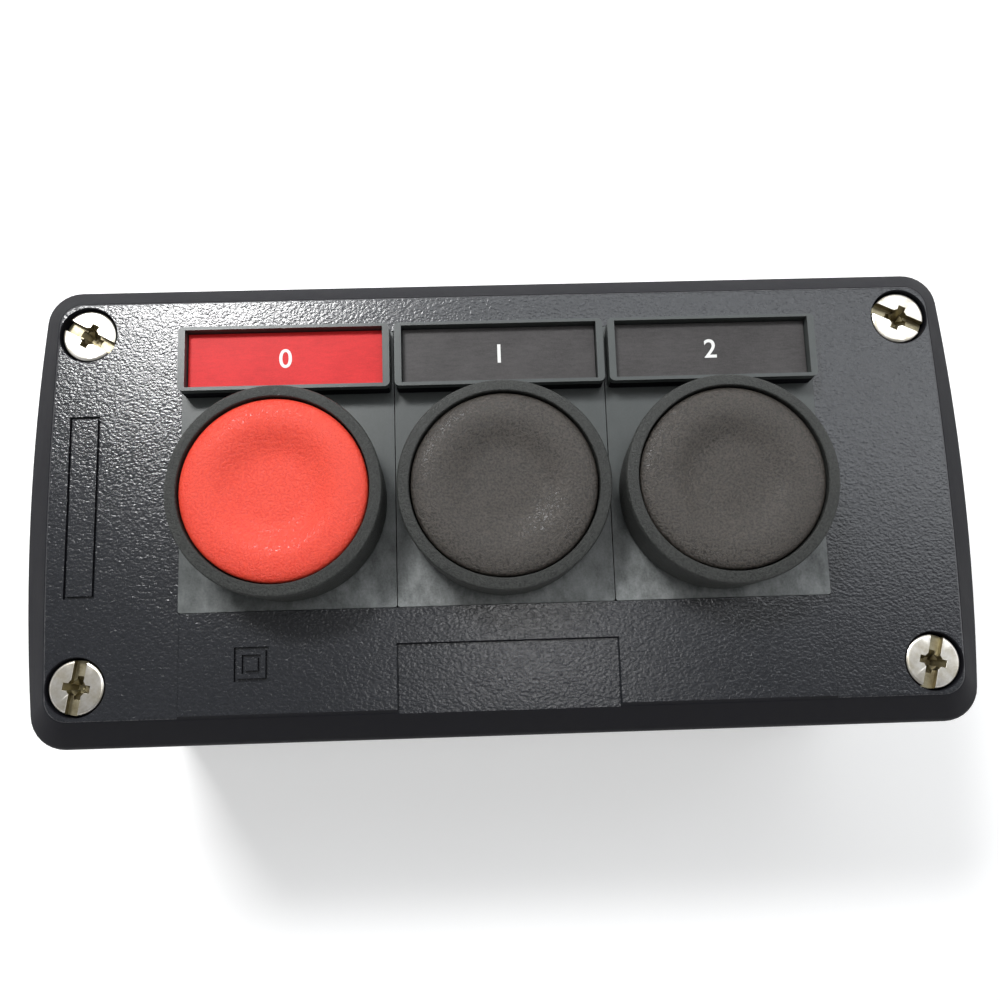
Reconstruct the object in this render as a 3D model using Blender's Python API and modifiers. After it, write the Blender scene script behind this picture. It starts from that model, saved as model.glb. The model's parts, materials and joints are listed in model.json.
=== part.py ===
# Three-button surface-mounted control station: a box that holds three sprung push heads, each over a
# contact block. Metres, +Z out of the front face, +X along the box. The origin is the middle of the back.
import math

import bmesh
import bpy
from mathutils import Matrix, Vector

mm = 0.001

# Driving sizes of the standard push head
bore_radius = 11.35 * mm
bezel_overhang = 3.25 * mm
head_gap = 0.8 * mm
travel = 4.3 * mm
clearance = 0.3 * mm

# Walls and margins of the enclosure
wall = 2.5 * mm
floor_thickness = 2.5 * mm
joint_height = 31 * mm
end_margin = 18.2 * mm
upper_margin = 5.1 * mm
lower_margin = 14.4 * mm
flank_height = 3.8 * mm
flank_run_x = 4.8 * mm
flank_run_y = 4.4 * mm
end_bow = 1.8 * mm
face_bow = 0.7 * mm
corner_radius = 5 * mm
face_corner_radius = 3.2 * mm
inner_corner_radius = 1 * mm
skirt_draft = 0.2 * mm
skirt_side_draft = 0.6 * mm
base_draft = 1 * mm
base_inset = 0.6 * mm
edge_round = 0.7 * mm
room_shoulder_height = 1.2 * mm
room_shoulder_run = 1.4 * mm

# Seal between the two halves
skirt_thickness = 2.2 * mm
tongue_thickness = 2 * mm
tongue_height = 4 * mm
tongue_root = 3 * mm
gasket_thickness = 1.7 * mm
seal_rib_thickness = 1.6 * mm
seal_rib_rise = 2.5 * mm
seal_roof_thickness = 2.5 * mm
ledge_height = 4 * mm

# Cover screws and their posts
screw_edge_x = 9.5 * mm
screw_edge_y = 9 * mm
screw_head_radius = 3.75 * mm
screw_head_height = 4.3 * mm
screw_head_edge = 0.35 * mm
screw_sink = 0.3 * mm
screw_shank_radius = 1.75 * mm
screw_point_radius = 0.4 * mm
screw_length = 28 * mm
screw_slot_width = 1.7 * mm
screw_slot_depth = 1.2 * mm
counterbore_gap = 0.3 * mm
cover_post_wall = 1.35 * mm
screw_seat_overhang = 2.45 * mm
screw_seat_thickness = 2.4 * mm
screw_seat_cover = 1.6 * mm
base_post_wall = 2.55 * mm
base_post_drop = 2 * mm
post_web_thickness = 2 * mm
post_web_reach = 2.6 * mm
# Degrees that each slot stands from +X: upper left, upper right, lower left, lower right
screw_turns = (-30, -26, 81, 75)

# Face panels
pocket_depth = 1.5 * mm
front_ceiling = 2.3 * mm
platform_height = 0.25 * mm
platform_root = 1 * mm
platform_front_gap = 0.35 * mm
platform_end_gap = 0.2 * mm
cell_end_gap = 0.2 * mm
cell_drop = 4.8 * mm
cell_depth = 0.25 * mm

# Legend holder and insert
holder_edge_down = 0.2 * mm
legend_gap = 1 * mm
holder_thickness = 1.3 * mm
legend_frame_depth = 9.3 * mm
legend_frame_height = 2.95 * mm
legend_frame_side = 1.7 * mm
legend_frame_lip = 0.6 * mm
legend_frame_root = 0.1 * mm
insert_thickness = 1.1 * mm
insert_sink = 0.65 * mm
frame_edge_round = 0.25 * mm
frame_floor = 1 * mm

# Push head
barrel_wall = 1.75 * mm
barrel_length = 13 * mm
barrel_floor = 1.5 * mm
stem_play = 0.5 * mm
key_width = 2 * mm
key_reach = 1.4 * mm
key_root = 1 * mm
bezel_taper = 0.5 * mm
bezel_height = 8.2 * mm
bezel_rise = 0.3 * mm
bezel_edge = 0.25 * mm
cap_well_step = 1.2 * mm
cap_well_floor = 2.6 * mm
seal_groove_wall = 0.55 * mm
seal_width = 1.2 * mm
seal_thickness = 0.9 * mm
nut_spacing = 2 * mm
nut_notch_depth = 1 * mm
nut_height = 4.5 * mm
nut_notches = 6

# Button
cap_gap = 0.35 * mm
cap_height = 8.8 * mm
cap_dish = 0.9 * mm
cap_crest_inset = 0.9 * mm
cap_shoulder_inset = 0.2 * mm
cap_shoulder_drop = 0.35 * mm
cap_edge_drop = 0.95 * mm
cap_plug_radius = 3 * mm
cap_plug_length = 2.6 * mm
pusher_play = 0.4 * mm
pusher_disc_thickness = 1.5 * mm
pusher_skirt_thickness = 1.3 * mm
pusher_skirt_length = 6.4 * mm
stem_wall = 0.9 * mm
stem_below_barrel = 2.9 * mm
snap_reach = 1.1 * mm
snap_length = 1.5 * mm
press_margin = 0.8 * mm
return_wire_radius = 0.4 * mm
return_coil_gap = 0.8 * mm
return_turns = 5

# Contact block
block_width = 9.8 * mm
block_length = 40 * mm
block_tower_length = 23 * mm
block_wall = 1.6 * mm
block_roof = 2 * mm
block_floor = 1.5 * mm
rail_height = 1.7 * mm
rail_width = 3 * mm
rail_spacing = 24 * mm
rail_overrun = 2 * mm
terminal_entry_height = 7.3 * mm
terminal_roof = 2.5 * mm
terminal_screw_inset = 4 * mm
bar_thickness = 1 * mm
bar_width = 6.4 * mm
bar_outer_gap = 1 * mm
riser_gap = 0.6 * mm
tip_radius = 1.2 * mm
tip_height = 0.6 * mm
tip_root = 0.2 * mm
tip_riser_gap = 0.5 * mm
make_travel = 2.6 * mm
break_travel = 2.8 * mm
closed_gap = 0.1 * mm
bridge_width = 3.6 * mm
bridge_thickness = 1 * mm
bridge_end = 1.3 * mm
bar_end = 1.3 * mm
plunger_width = 5.8 * mm
plunger_length = 7.2 * mm
plunger_flange_reach = 1.4 * mm
plunger_flange_inset = 0.2 * mm
plunger_flange_height = 2.2 * mm
plunger_web = 2.3 * mm
plunger_sill = 1.5 * mm
plunger_pin_radius = 1.1 * mm
plunger_pin_length = 4.6 * mm
plunger_pin_root = 0.5 * mm
window_play = 0.3 * mm
contact_spring_length = 4.7 * mm
contact_wire_radius = 0.22 * mm
contact_coil_radius = 1.3 * mm
plunger_spring_length = 9.2 * mm
plunger_wire_radius = 0.3 * mm
plunger_coil_gap = 0.5 * mm
coil_turns = 4
coil_end_gap = 0.05 * mm
terminal_head_radius = 2.8 * mm
terminal_head_height = 2.2 * mm
terminal_shank_radius = 1.5 * mm
terminal_screw_length = 5 * mm
terminal_slot_width = 0.8 * mm
terminal_slot_depth = 1 * mm

# Base fittings
gland_land_sink = 2 * mm
gland_land_half_width = 14 * mm
gland_land_half_height = 12 * mm
gland_centre_height = 15 * mm
gland_wall = 2.8 * mm
knockout_radius = 10.2 * mm
knockout_groove = 0.6 * mm
knockout_groove_depth = 1.2 * mm
fixing_inset = 16 * mm
fixing_slot_width = 5.3 * mm
fixing_slot_length = 10 * mm
fixing_pad_height = 2 * mm
fixing_pad_margin = 3 * mm

# How far a cutter runs past the face that it cuts, and how deep a joined shape is rooted
overcut = 1 * mm
root = 1 * mm

# Edges steeper than this many degrees stay sharp
sharp_angle = 35

# Sides of the round shapes, by size
large_steps = 24
medium_steps = 16
small_steps = 10
coil_steps = 7

stations = ("left", "middle", "right")
button_colours = {"left": "cap red", "middle": "cap black", "right": "cap black"}
insert_colours = {"left": "legend red", "middle": "legend black", "right": "legend black"}
opens_circuit = {"left": True, "middle": False, "right": False}

# Head, from the middle outwards
barrel_radius = bore_radius - clearance
barrel_inner_radius = barrel_radius - barrel_wall
bezel_base_radius = bore_radius + bezel_overhang
bezel_top_radius = bezel_base_radius - bezel_taper
cap_well_radius = bore_radius + cap_well_step
cap_radius = cap_well_radius - cap_gap
seal_inner_radius = bore_radius + seal_groove_wall + clearance
seal_outer_radius = seal_inner_radius + seal_width
pusher_radius = barrel_inner_radius - pusher_play
stem_radius = cap_plug_radius + clearance + stem_wall
stem_hole_radius = stem_radius + stem_play
head_pitch = 2 * bezel_base_radius + head_gap
holder_length_up = bezel_base_radius + legend_gap + legend_frame_depth
holder_length_down = bezel_base_radius + holder_edge_down
holder_width = head_pitch - clearance
nut_outer_radius = (head_pitch - nut_spacing) / 2

# Enclosure, round the heads
face_length = len(stations) * head_pitch + 2 * end_margin
face_width = holder_length_up + holder_length_down + upper_margin + lower_margin
box_length = face_length + 2 * flank_run_x
box_width = face_width + 2 * flank_run_y
head_line_y = lower_margin + holder_length_down - face_width / 2

# Contact block, from its floor up. It opens the circuit where the bridge hangs below its contacts.
block_bottom = floor_thickness + rail_height + clearance
cavity_bottom = block_bottom + block_floor
plunger_bottom = cavity_bottom + plunger_spring_length + 2 * clearance
sill_top = plunger_bottom + plunger_sill
strip_bottom = {False: sill_top + clearance, True: sill_top + 2 * clearance + contact_spring_length}
strip_top = {opens: height + bridge_thickness for opens, height in strip_bottom.items()}
window_top = {
    False: strip_top[False] + 2 * clearance + contact_spring_length,
    True: strip_top[True] + travel - break_travel + closed_gap,
}
terminal_level = strip_bottom[False] - 2 * tip_height - make_travel - closed_gap - bar_thickness
bar_top = {
    False: terminal_level + bar_thickness,
    True: strip_top[True] + 2 * tip_height + closed_gap + bar_thickness,
}
flange_top = max(window_top.values()) + plunger_web + plunger_flange_height
cavity_top = flange_top + clearance
block_top = cavity_top + block_roof
terminal_slot_top = terminal_level + terminal_entry_height

# Depth of the box: the block, the stroke and the barrel behind the face
box_depth = block_top + press_margin + travel + stem_below_barrel + barrel_length
face = box_depth
rim_height = face - flank_height

# Heights of the head's pieces, from the front face
holder_bottom = clearance - pocket_depth
holder_top = holder_bottom + holder_thickness
bezel_bottom = holder_top + clearance
ceiling = -pocket_depth - front_ceiling
barrel_bottom = -barrel_length
barrel_floor_top = barrel_bottom + barrel_floor
stem_bottom = barrel_bottom - stem_below_barrel
cap_underside = cap_well_floor + travel + clearance
pusher_top = cap_underside - clearance
plunger_top = face + stem_bottom - clearance

# Insets of the seal's walls from the widest outline
tongue_inset = skirt_thickness + clearance
rib_inset = skirt_thickness + tongue_thickness + 2 * clearance
cavity_inset = rib_inset + seal_rib_thickness
hollow_inset = tongue_inset + tongue_thickness
base_top = joint_height - clearance
tongue_top = base_top + tongue_height
gasket_bottom = tongue_top + clearance
channel_top = gasket_bottom + gasket_thickness + clearance
ledge_top = channel_top + seal_roof_thickness
rib_bottom = joint_height + seal_rib_rise
screw_seat = face - screw_sink - screw_head_height - clearance
post_joint = joint_height + tongue_height - base_post_drop


def clear_scene():
    for item in list(bpy.data.objects):
        bpy.data.objects.remove(item, do_unlink=True)


clear_scene()
parts = bpy.data.collections.new("three_button_control_station")
cutters = bpy.data.collections.new("cutters")
for collection in (parts, cutters):
    bpy.context.scene.collection.children.link(collection)


# Materials
def material(name, colour, roughness, metallic=0.0):
    made = bpy.data.materials.new(name)
    made.use_nodes = True
    shader = made.node_tree.nodes["Principled BSDF"]
    shader.inputs["Base Color"].default_value = (*colour, 1)
    shader.inputs["Roughness"].default_value = roughness
    shader.inputs["Metallic"].default_value = metallic
    made.diffuse_color = (*colour, 1)
    return made


materials = {
    "cover plastic": material("cover plastic", (0.055, 0.058, 0.062), 0.5),
    "base plastic": material("base plastic", (0.45, 0.46, 0.45), 0.55),
    "seal rubber": material("seal rubber", (0.02, 0.02, 0.02), 0.8),
    "screw nickel": material("screw nickel", (0.62, 0.6, 0.56), 0.3, 1.0),
    "holder plastic": material("holder plastic", (0.06, 0.062, 0.066), 0.4),
    "bezel plastic": material("bezel plastic", (0.035, 0.034, 0.034), 0.4),
    "legend red": material("legend red", (0.72, 0.04, 0.04), 0.4),
    "legend black": material("legend black", (0.04, 0.04, 0.04), 0.4),
    "cap red": material("cap red", (0.83, 0.1, 0.06), 0.45),
    "cap black": material("cap black", (0.05, 0.05, 0.05), 0.45),
    "pusher plastic": material("pusher plastic", (0.7, 0.7, 0.66), 0.45),
    "nut plastic": material("nut plastic", (0.09, 0.09, 0.1), 0.5),
    "spring steel": material("spring steel", (0.5, 0.5, 0.5), 0.3, 1.0),
    "contact housing": material("contact housing", (0.3, 0.31, 0.32), 0.5),
    "contact brass": material("contact brass", (0.72, 0.55, 0.26), 0.3, 1.0),
    "terminal steel": material("terminal steel", (0.6, 0.6, 0.6), 0.35, 1.0),
}


# Shapes
def new_object(name, mesh, collection=parts):
    made = bpy.data.objects.new(name, mesh)
    collection.objects.link(made)
    return made


def hide(item):
    item.hide_render = True
    item.display_type = "WIRE"


def helper(name, mesh):
    made = new_object(name, mesh, cutters)
    hide(made)
    return made


def mesh_from(name, build):
    form = bmesh.new()
    build(form)
    bmesh.ops.recalc_face_normals(form, faces=form.faces)
    mesh = bpy.data.meshes.new(name)
    form.to_mesh(mesh)
    form.free()
    return mesh


def box_mesh(name, low, high):
    low, high = Vector(low), Vector(high)
    size = Matrix.Diagonal((*(high - low), 1))
    place = Matrix.Translation((low + high) / 2)
    return mesh_from(name, lambda form: bmesh.ops.create_cube(form, size=1, matrix=place @ size))


def cylinder_mesh(name, radius, bottom, top, steps, centre=(0, 0)):
    place = Matrix.Translation((*centre, (bottom + top) / 2))
    return mesh_from(
        name,
        lambda form: bmesh.ops.create_cone(
            form, cap_ends=True, segments=steps, radius1=radius, radius2=radius,
            depth=top - bottom, matrix=place,
        ),
    )


# Skins the outlines of several heights, which all have as many points, into one closed body.
def loft_mesh(name, levels):
    def build(form):
        rings = [[form.verts.new((x, y, z)) for x, y in outline] for z, outline in levels]
        for lower, upper in zip(rings, rings[1:]):
            for i in range(len(lower)):
                j = (i + 1) % len(lower)
                form.faces.new((lower[i], lower[j], upper[j], upper[i]))
        form.faces.new(reversed(rings[0]))
        form.faces.new(rings[-1])

    return mesh_from(name, build)


# A ring between two outlines with as many points each.
def ring_mesh(name, outer, inner, bottom, top):
    def build(form):
        loops = [
            [form.verts.new((x, y, z)) for x, y in outline]
            for outline, z in ((outer, bottom), (outer, top), (inner, top), (inner, bottom))
        ]
        for first, second in zip(loops, loops[1:] + loops[:1]):
            for i in range(len(first)):
                j = (i + 1) % len(first)
                form.faces.new((first[i], first[j], second[j], second[i]))

    return mesh_from(name, build)


def prism_mesh(name, outline, bottom, top):
    return loft_mesh(name, [(bottom, outline), (top, outline)])


# A rectangle with arched short ends and round corners, anticlockwise from the middle of the +X end.
def arched_outline(half_length, half_width, bow, radius, end_steps=3, corner_steps=5):
    arch = (half_width**2 + bow**2) / (2 * bow)
    arch_x = half_length - arch
    corner_y = half_width - radius
    corner_x = arch_x + math.sqrt((arch - radius) ** 2 - corner_y**2)
    meet = math.atan2(corner_y, corner_x - arch_x)
    quarter = []
    for i in range(end_steps):
        angle = meet * i / end_steps
        quarter.append((arch_x + arch * math.cos(angle), arch * math.sin(angle)))
    for i in range(corner_steps + 1):
        angle = meet + (math.pi / 2 - meet) * i / corner_steps
        quarter.append((corner_x + radius * math.cos(angle), corner_y + radius * math.sin(angle)))
    upper = quarter + [(-x, y) for x, y in reversed(quarter)]
    return upper + [(x, -y) for x, y in reversed(upper[1:-1])]


# The outline of the enclosure's widest line, moved in by one distance all round.
def enclosure_outline(inset):
    radius = max(corner_radius - inset, inner_corner_radius)
    return arched_outline(box_length / 2 - inset, box_width / 2 - inset, end_bow, radius)


def stadium(half_width, half_length, steps=8):
    straight = half_length - half_width
    points = []
    for centre_y, start in ((straight, 0), (-straight, math.pi)):
        for i in range(steps + 1):
            angle = start + math.pi * i / steps
            points.append((half_width * math.cos(angle), centre_y + half_width * math.sin(angle)))
    return points


# A closed profile, given as radius and height down its outer side and up its inner one, turned round Z.
def turned(name, profile, steps, collection=cutters):
    mesh = bpy.data.meshes.new(name)
    edges = [(i, (i + 1) % len(profile)) for i in range(len(profile))]
    if profile[0][0] == 0 and profile[-1][0] == 0:
        edges.pop()
    mesh.from_pydata([(radius, 0, height) for radius, height in profile], edges, [])
    made = new_object(name, mesh, collection)
    screw = made.modifiers.new("turn", "SCREW")
    screw.steps = steps
    screw.render_steps = steps
    screw.use_merge_vertices = True
    screw.merge_threshold = 1e-6
    return made


def turned_mesh(name, profile, steps):
    return baked(turned(name, profile, steps))


# The evaluated mesh of an object that isn't needed any more.
def baked(item):
    graph = bpy.context.evaluated_depsgraph_get()
    mesh = bpy.data.meshes.new_from_object(item.evaluated_get(graph))
    mesh.name = item.name
    bpy.data.objects.remove(item, do_unlink=True)
    form = bmesh.new()
    form.from_mesh(mesh)
    bmesh.ops.remove_doubles(form, verts=form.verts, dist=1e-6)
    form.to_mesh(mesh)
    form.free()
    return mesh


def combine(target, operation, *tools):
    for tool in tools:
        step = target.modifiers.new(tool.name, "BOOLEAN")
        step.operation = operation
        step.object = tool


# A mesh with others cut from it or joined to it, for pieces that repeat. Each step is an operation and
# a mesh.
def worked_mesh(name, start, steps):
    item = new_object(name, start, cutters)
    tools = [new_object(mesh.name, mesh, cutters) for _, mesh in steps]
    for (operation, _), tool in zip(steps, tools):
        combine(item, operation, tool)
    mesh = baked(item)
    for tool in tools:
        bpy.data.objects.remove(tool, do_unlink=True)
    return mesh


def add_bevel(item, width, segments, angle=25):
    bevel = item.modifiers.new("round", "BEVEL")
    bevel.width = width
    bevel.segments = segments
    bevel.limit_method = "ANGLE"
    bevel.angle_limit = math.radians(angle)
    return bevel


def finish(item, colour, location=(0, 0, 0), turn=0.0, carrier=None):
    item.location = location
    item.rotation_euler.z = turn
    item.parent = carrier
    if not item.data.materials:
        item.data.materials.append(materials[colour])
    item.material_slots[0].link = "OBJECT"
    item.material_slots[0].material = materials[colour]
    item.data.shade_smooth()
    item.data.set_sharp_from_angle(angle=math.radians(sharp_angle))
    return item


def carrier_at(name, location):
    made = bpy.data.objects.new(name, None)
    made.empty_display_size = bore_radius
    made.location = location
    parts.objects.link(made)
    return made


# Wire wound round Z, with its first and last turn closed up.
def coil_mesh(name, radius, wire, bottom, top, turns):
    curve = bpy.data.curves.new(name, "CURVE")
    curve.dimensions = "3D"
    curve.bevel_depth = wire
    curve.bevel_resolution = 0
    curve.use_fill_caps = True
    count = turns * coil_steps + 1
    spline = curve.splines.new("POLY")
    spline.points.add(count - 1)
    rest = 2 * wire + coil_end_gap
    pitch = (top - bottom - 2 * wire - 2 * rest) / (turns - 2)
    for i, point in enumerate(spline.points):
        turn = i / coil_steps
        angle = 2 * math.pi * turn
        lift = rest * min(turn, 1) + pitch * min(max(turn - 1, 0), turns - 2)
        lift += rest * max(turn - turns + 1, 0)
        point.co = (radius * math.cos(angle), radius * math.sin(angle), bottom + wire + lift, 1)
    return baked(new_object(name, curve, cutters))


# Screw positions in the order of screw_turns
def screw_places():
    x, y = box_length / 2 - screw_edge_x, box_width / 2 - screw_edge_y
    return [(-x, y), (x, y), (-x, -y), (x, -y)]


def station_x(station):
    return (stations.index(station) - 1) * head_pitch


def each_station(name, meshes, colour, height):
    made = {}
    for station in stations:
        mesh = meshes[station] if isinstance(meshes, dict) else meshes
        item = new_object(f"{name}_{station}", mesh)
        tint = colour[station] if isinstance(colour, dict) else colour
        item_height = 0 if height == "back" else face
        made[station] = finish(item, tint, (0, 0, item_height), carrier=carriers[station])
    return made


carriers = {
    station: carrier_at(f"station_{station}", (station_x(station), head_line_y, 0)) for station in stations
}


# Cover. The flank's outline goes from the widest line, at 0, to the edge of the face, at 1.
def flank_outline(share):
    half_length = (box_length / 2 - skirt_draft) * (1 - share) + face_length / 2 * share
    half_width = (box_width / 2 - skirt_side_draft) * (1 - share) + face_width / 2 * share
    bow = end_bow * (1 - share) + face_bow * share
    radius = corner_radius * (1 - share) + face_corner_radius * share
    return arched_outline(half_length, half_width, bow, radius)


def cover_shell():
    outside = loft_mesh(
        "cover",
        [
            (joint_height, enclosure_outline(0)),
            (rim_height, flank_outline(0)),
            (face, flank_outline(1)),
        ],
    )
    cover = new_object("cover", outside)
    add_bevel(cover, edge_round, 2)
    skirt_inside = enclosure_outline(skirt_thickness)
    mouth = prism_mesh("cover mouth", skirt_inside, joint_height - overcut, rib_bottom)
    channel = ring_mesh(
        "seal channel", skirt_inside, enclosure_outline(rib_inset), rib_bottom - overcut, channel_top
    )
    throat = prism_mesh(
        "cover throat", enclosure_outline(cavity_inset), rib_bottom - overcut, ledge_top + overcut
    )
    for mesh in (mouth, channel, throat, cover_room()):
        combine(cover, "DIFFERENCE", helper(mesh.name, mesh))
    return cover


# The space behind the front wall, which follows the flank at one wall's thickness.
def cover_room():
    inset = wall + skirt_side_draft
    return loft_mesh(
        "cover room",
        [
            (ledge_top, enclosure_outline(wall + skirt_draft)),
            (face + ceiling - room_shoulder_height, enclosure_outline(inset)),
            (face + ceiling, enclosure_outline(inset + room_shoulder_run)),
        ],
    )


def add_screw_posts(cover):
    hole_radius = screw_shank_radius + clearance
    post_radius = hole_radius + cover_post_wall
    seat_radius = screw_head_radius + screw_seat_overhang
    bore = screw_head_radius + counterbore_gap
    bottom = post_joint + clearance
    top = screw_seat + screw_seat_cover
    for i, (x, y) in enumerate(screw_places()):
        post = turned(
            f"cover post {i + 1}",
            [
                (0, top),
                (seat_radius, top),
                (seat_radius, screw_seat - screw_seat_thickness),
                (post_radius, screw_seat - 2 * screw_seat_thickness),
                (post_radius, bottom),
                (0, bottom),
            ],
            medium_steps,
        )
        hole = turned(
            f"screw hole {i + 1}",
            [
                (0, face + overcut),
                (bore, face + overcut),
                (bore, screw_seat),
                (hole_radius, screw_seat),
                (hole_radius, bottom - overcut),
                (0, bottom - overcut),
            ],
            medium_steps,
        )
        for tool in (post, hole):
            tool.location = (x, y, 0)
            hide(tool)
        combine(cover, "UNION", post)
        combine(cover, "DIFFERENCE", hole)


# Raised panels below the left and right heads, joined by a strip over the sunk middle cell.
def add_platform(cover):
    top_y = head_line_y - holder_length_down - clearance
    cell_y = top_y - cell_drop
    front_y = platform_front_gap - face_width / 2
    top = face + platform_height
    long = len(stations) * head_pitch / 2 - platform_end_gap
    short = head_pitch / 2 + cell_end_gap

    def outline(front):
        return [
            (long, top_y), (-long, top_y), (-long, front), (-short, front),
            (-short, cell_y), (short, cell_y), (short, front), (long, front),
        ]

    slope = (flank_run_y - skirt_side_draft) / flank_height
    body = loft_mesh(
        "platform",
        [(top - platform_root, outline(front_y - platform_root * slope)), (top, outline(front_y))],
    )
    cell = box_mesh(
        "middle cell", (-short, -box_width / 2, face - cell_depth), (short, cell_y, face + overcut)
    )
    combine(cover, "UNION", helper("platform", body))
    combine(cover, "DIFFERENCE", helper("middle cell", cell))


def cut_panel(cover):
    half = (len(stations) * head_pitch + clearance) / 2
    bottom = face + ceiling - overcut
    top = face + overcut
    pocket = box_mesh(
        "legend pocket",
        (-half, head_line_y - holder_length_down - clearance, face - pocket_depth),
        (half, head_line_y + holder_length_up + clearance, top),
    )
    combine(cover, "DIFFERENCE", helper("legend pocket", pocket))
    for station in stations:
        place = (station_x(station), head_line_y)
        hole = cylinder_mesh(f"head hole {station}", bore_radius, bottom, top, large_steps, place)
        notch = key_box(f"key notch {station}", clearance, bottom, top)
        notch.transform(Matrix.Translation((*place, 0)))
        combine(cover, "DIFFERENCE", helper(hole.name, hole), helper(notch.name, notch))


# The key that stops a head from turning, or with a margin the notch that it sits in.
def key_box(name, margin, bottom, top):
    half = key_width / 2 + margin
    reach = barrel_radius + key_reach + margin
    return box_mesh(name, (-half, barrel_radius - key_root, bottom), (half, reach, top))


def make_cover():
    cover = cover_shell()
    add_screw_posts(cover)
    add_platform(cover)
    cut_panel(cover)
    finish(cover, "cover plastic")


# Base
def make_base():
    wall_inset = base_inset + wall
    outside = [(0, enclosure_outline(base_inset + base_draft)), (base_top, enclosure_outline(base_inset))]
    base = new_object("base", loft_mesh("base", outside))
    add_bevel(base, edge_round, 1, 60)
    tongue = prism_mesh("tongue", enclosure_outline(tongue_inset), base_top - tongue_root, tongue_top)
    combine(base, "UNION", helper("tongue", tongue))
    hollow = loft_mesh(
        "base room",
        [
            (floor_thickness, enclosure_outline(wall_inset + base_draft)),
            (base_top - ledge_height, enclosure_outline(wall_inset)),
            (base_top - ledge_height / 2, enclosure_outline(hollow_inset)),
            (tongue_top + overcut, enclosure_outline(hollow_inset)),
        ],
    )
    combine(base, "DIFFERENCE", helper("base room", hollow))
    add_base_posts(base)
    add_rails(base)
    add_gland_lands(base)
    add_fixing_slots(base)
    finish(base, "base plastic")


def add_base_posts(base):
    hole_radius = screw_shank_radius + clearance
    post_radius = hole_radius + base_post_wall
    bottom = floor_thickness - root
    hole_bottom = post_joint - screw_length
    half_web = post_web_thickness / 2
    for i, (x, y) in enumerate(screw_places()):
        post = cylinder_mesh(f"base post {i + 1}", post_radius, bottom, post_joint, medium_steps, (x, y))
        web = box_mesh(
            f"post web {i + 1}",
            (0, -half_web, bottom),
            (post_radius + post_web_reach, half_web, joint_height - ledge_height),
        )
        outward = math.atan2(math.copysign(1, y), math.copysign(1, x))
        web.transform(Matrix.Translation((x, y, 0)) @ Matrix.Rotation(outward, 4, "Z"))
        hole = cylinder_mesh(
            f"post hole {i + 1}", hole_radius, hole_bottom, post_joint + overcut, small_steps, (x, y)
        )
        combine(base, "UNION", helper(post.name, post), helper(web.name, web))
        combine(base, "DIFFERENCE", helper(hole.name, hole))


def add_rails(base):
    half = (len(stations) - 1) * head_pitch / 2 + block_width / 2 + rail_overrun
    for side in (-1, 1):
        y = head_line_y + side * rail_spacing / 2
        rail = box_mesh(
            f"rail {side}",
            (-half, y - rail_width / 2, floor_thickness - root),
            (half, y + rail_width / 2, floor_thickness + rail_height),
        )
        combine(base, "UNION", helper(rail.name, rail))


# Flat lands on the arched ends, each with a round knock-out for a cable gland.
def add_gland_lands(base):
    land_x = box_length / 2 - gland_land_sink
    low = gland_centre_height - gland_land_half_height
    high = gland_centre_height + gland_land_half_height
    for side, word in ((-1, "left"), (1, "right")):
        pad = box_mesh(
            f"gland pad {word}",
            (land_x - gland_wall, -gland_land_half_width, low),
            (land_x - root / 2, gland_land_half_width, high),
        )
        land = box_mesh(
            f"gland land {word}",
            (land_x, -gland_land_half_width, low),
            (box_length / 2 + overcut, gland_land_half_width, high),
        )
        turn = Matrix.Rotation(0 if side > 0 else math.pi, 4, "Z")
        for mesh in (pad, land):
            mesh.transform(turn)
        outer = knockout_radius + knockout_groove
        groove = turned(
            f"knock-out {word}",
            [
                (outer, gland_land_sink),
                (outer, -knockout_groove_depth),
                (knockout_radius, -knockout_groove_depth),
                (knockout_radius, gland_land_sink),
            ],
            large_steps,
        )
        groove.location = (side * land_x, 0, gland_centre_height)
        groove.rotation_euler.y = side * math.pi / 2
        hide(groove)
        combine(base, "UNION", helper(pad.name, pad))
        combine(base, "DIFFERENCE", helper(land.name, land), groove)


def add_fixing_slots(base):
    half_width = fixing_slot_width / 2
    half_length = fixing_slot_length / 2
    pad_outline = stadium(half_width + fixing_pad_margin, half_length + fixing_pad_margin)
    pad_top = floor_thickness + fixing_pad_height
    for side, word in ((-1, "left"), (1, "right")):
        pad = prism_mesh(f"fixing pad {word}", pad_outline, floor_thickness - root, pad_top)
        slot = prism_mesh(
            f"fixing slot {word}", stadium(half_width, half_length), -overcut, pad_top + overcut
        )
        for mesh in (pad, slot):
            mesh.transform(Matrix.Translation((side * (box_length / 2 - fixing_inset), 0, 0)))
        combine(base, "UNION", helper(pad.name, pad))
        combine(base, "DIFFERENCE", helper(slot.name, slot))


def make_gasket():
    mesh = ring_mesh(
        "cover_gasket", enclosure_outline(tongue_inset), enclosure_outline(hollow_inset),
        gasket_bottom, gasket_bottom + gasket_thickness,
    )
    finish(new_object("cover_gasket", mesh), "seal rubber")


def make_cover_screws():
    under_head = screw_seat + clearance - face
    shoulder = screw_head_radius - screw_head_edge
    end = under_head - screw_length
    body = turned_mesh(
        "cover_screw",
        [
            (0, -screw_sink),
            (shoulder, -screw_sink),
            (screw_head_radius, -screw_sink - screw_head_edge),
            (screw_head_radius, under_head),
            (screw_shank_radius, under_head),
            (screw_shank_radius, end + screw_shank_radius),
            (screw_point_radius, end),
            (0, end),
        ],
        medium_steps,
    )
    reach = screw_head_radius + overcut
    half = screw_slot_width / 2
    slot = box_mesh("screw slot", (-reach, -half, -screw_sink - screw_slot_depth), (reach, half, overcut))
    mesh = worked_mesh("cover_screw", body, [("DIFFERENCE", slot)])
    for i, (x, y) in enumerate(screw_places()):
        item = new_object(f"cover_screw_{i + 1}", mesh)
        finish(item, "screw nickel", (x, y, face), math.radians(screw_turns[i]))


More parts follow.
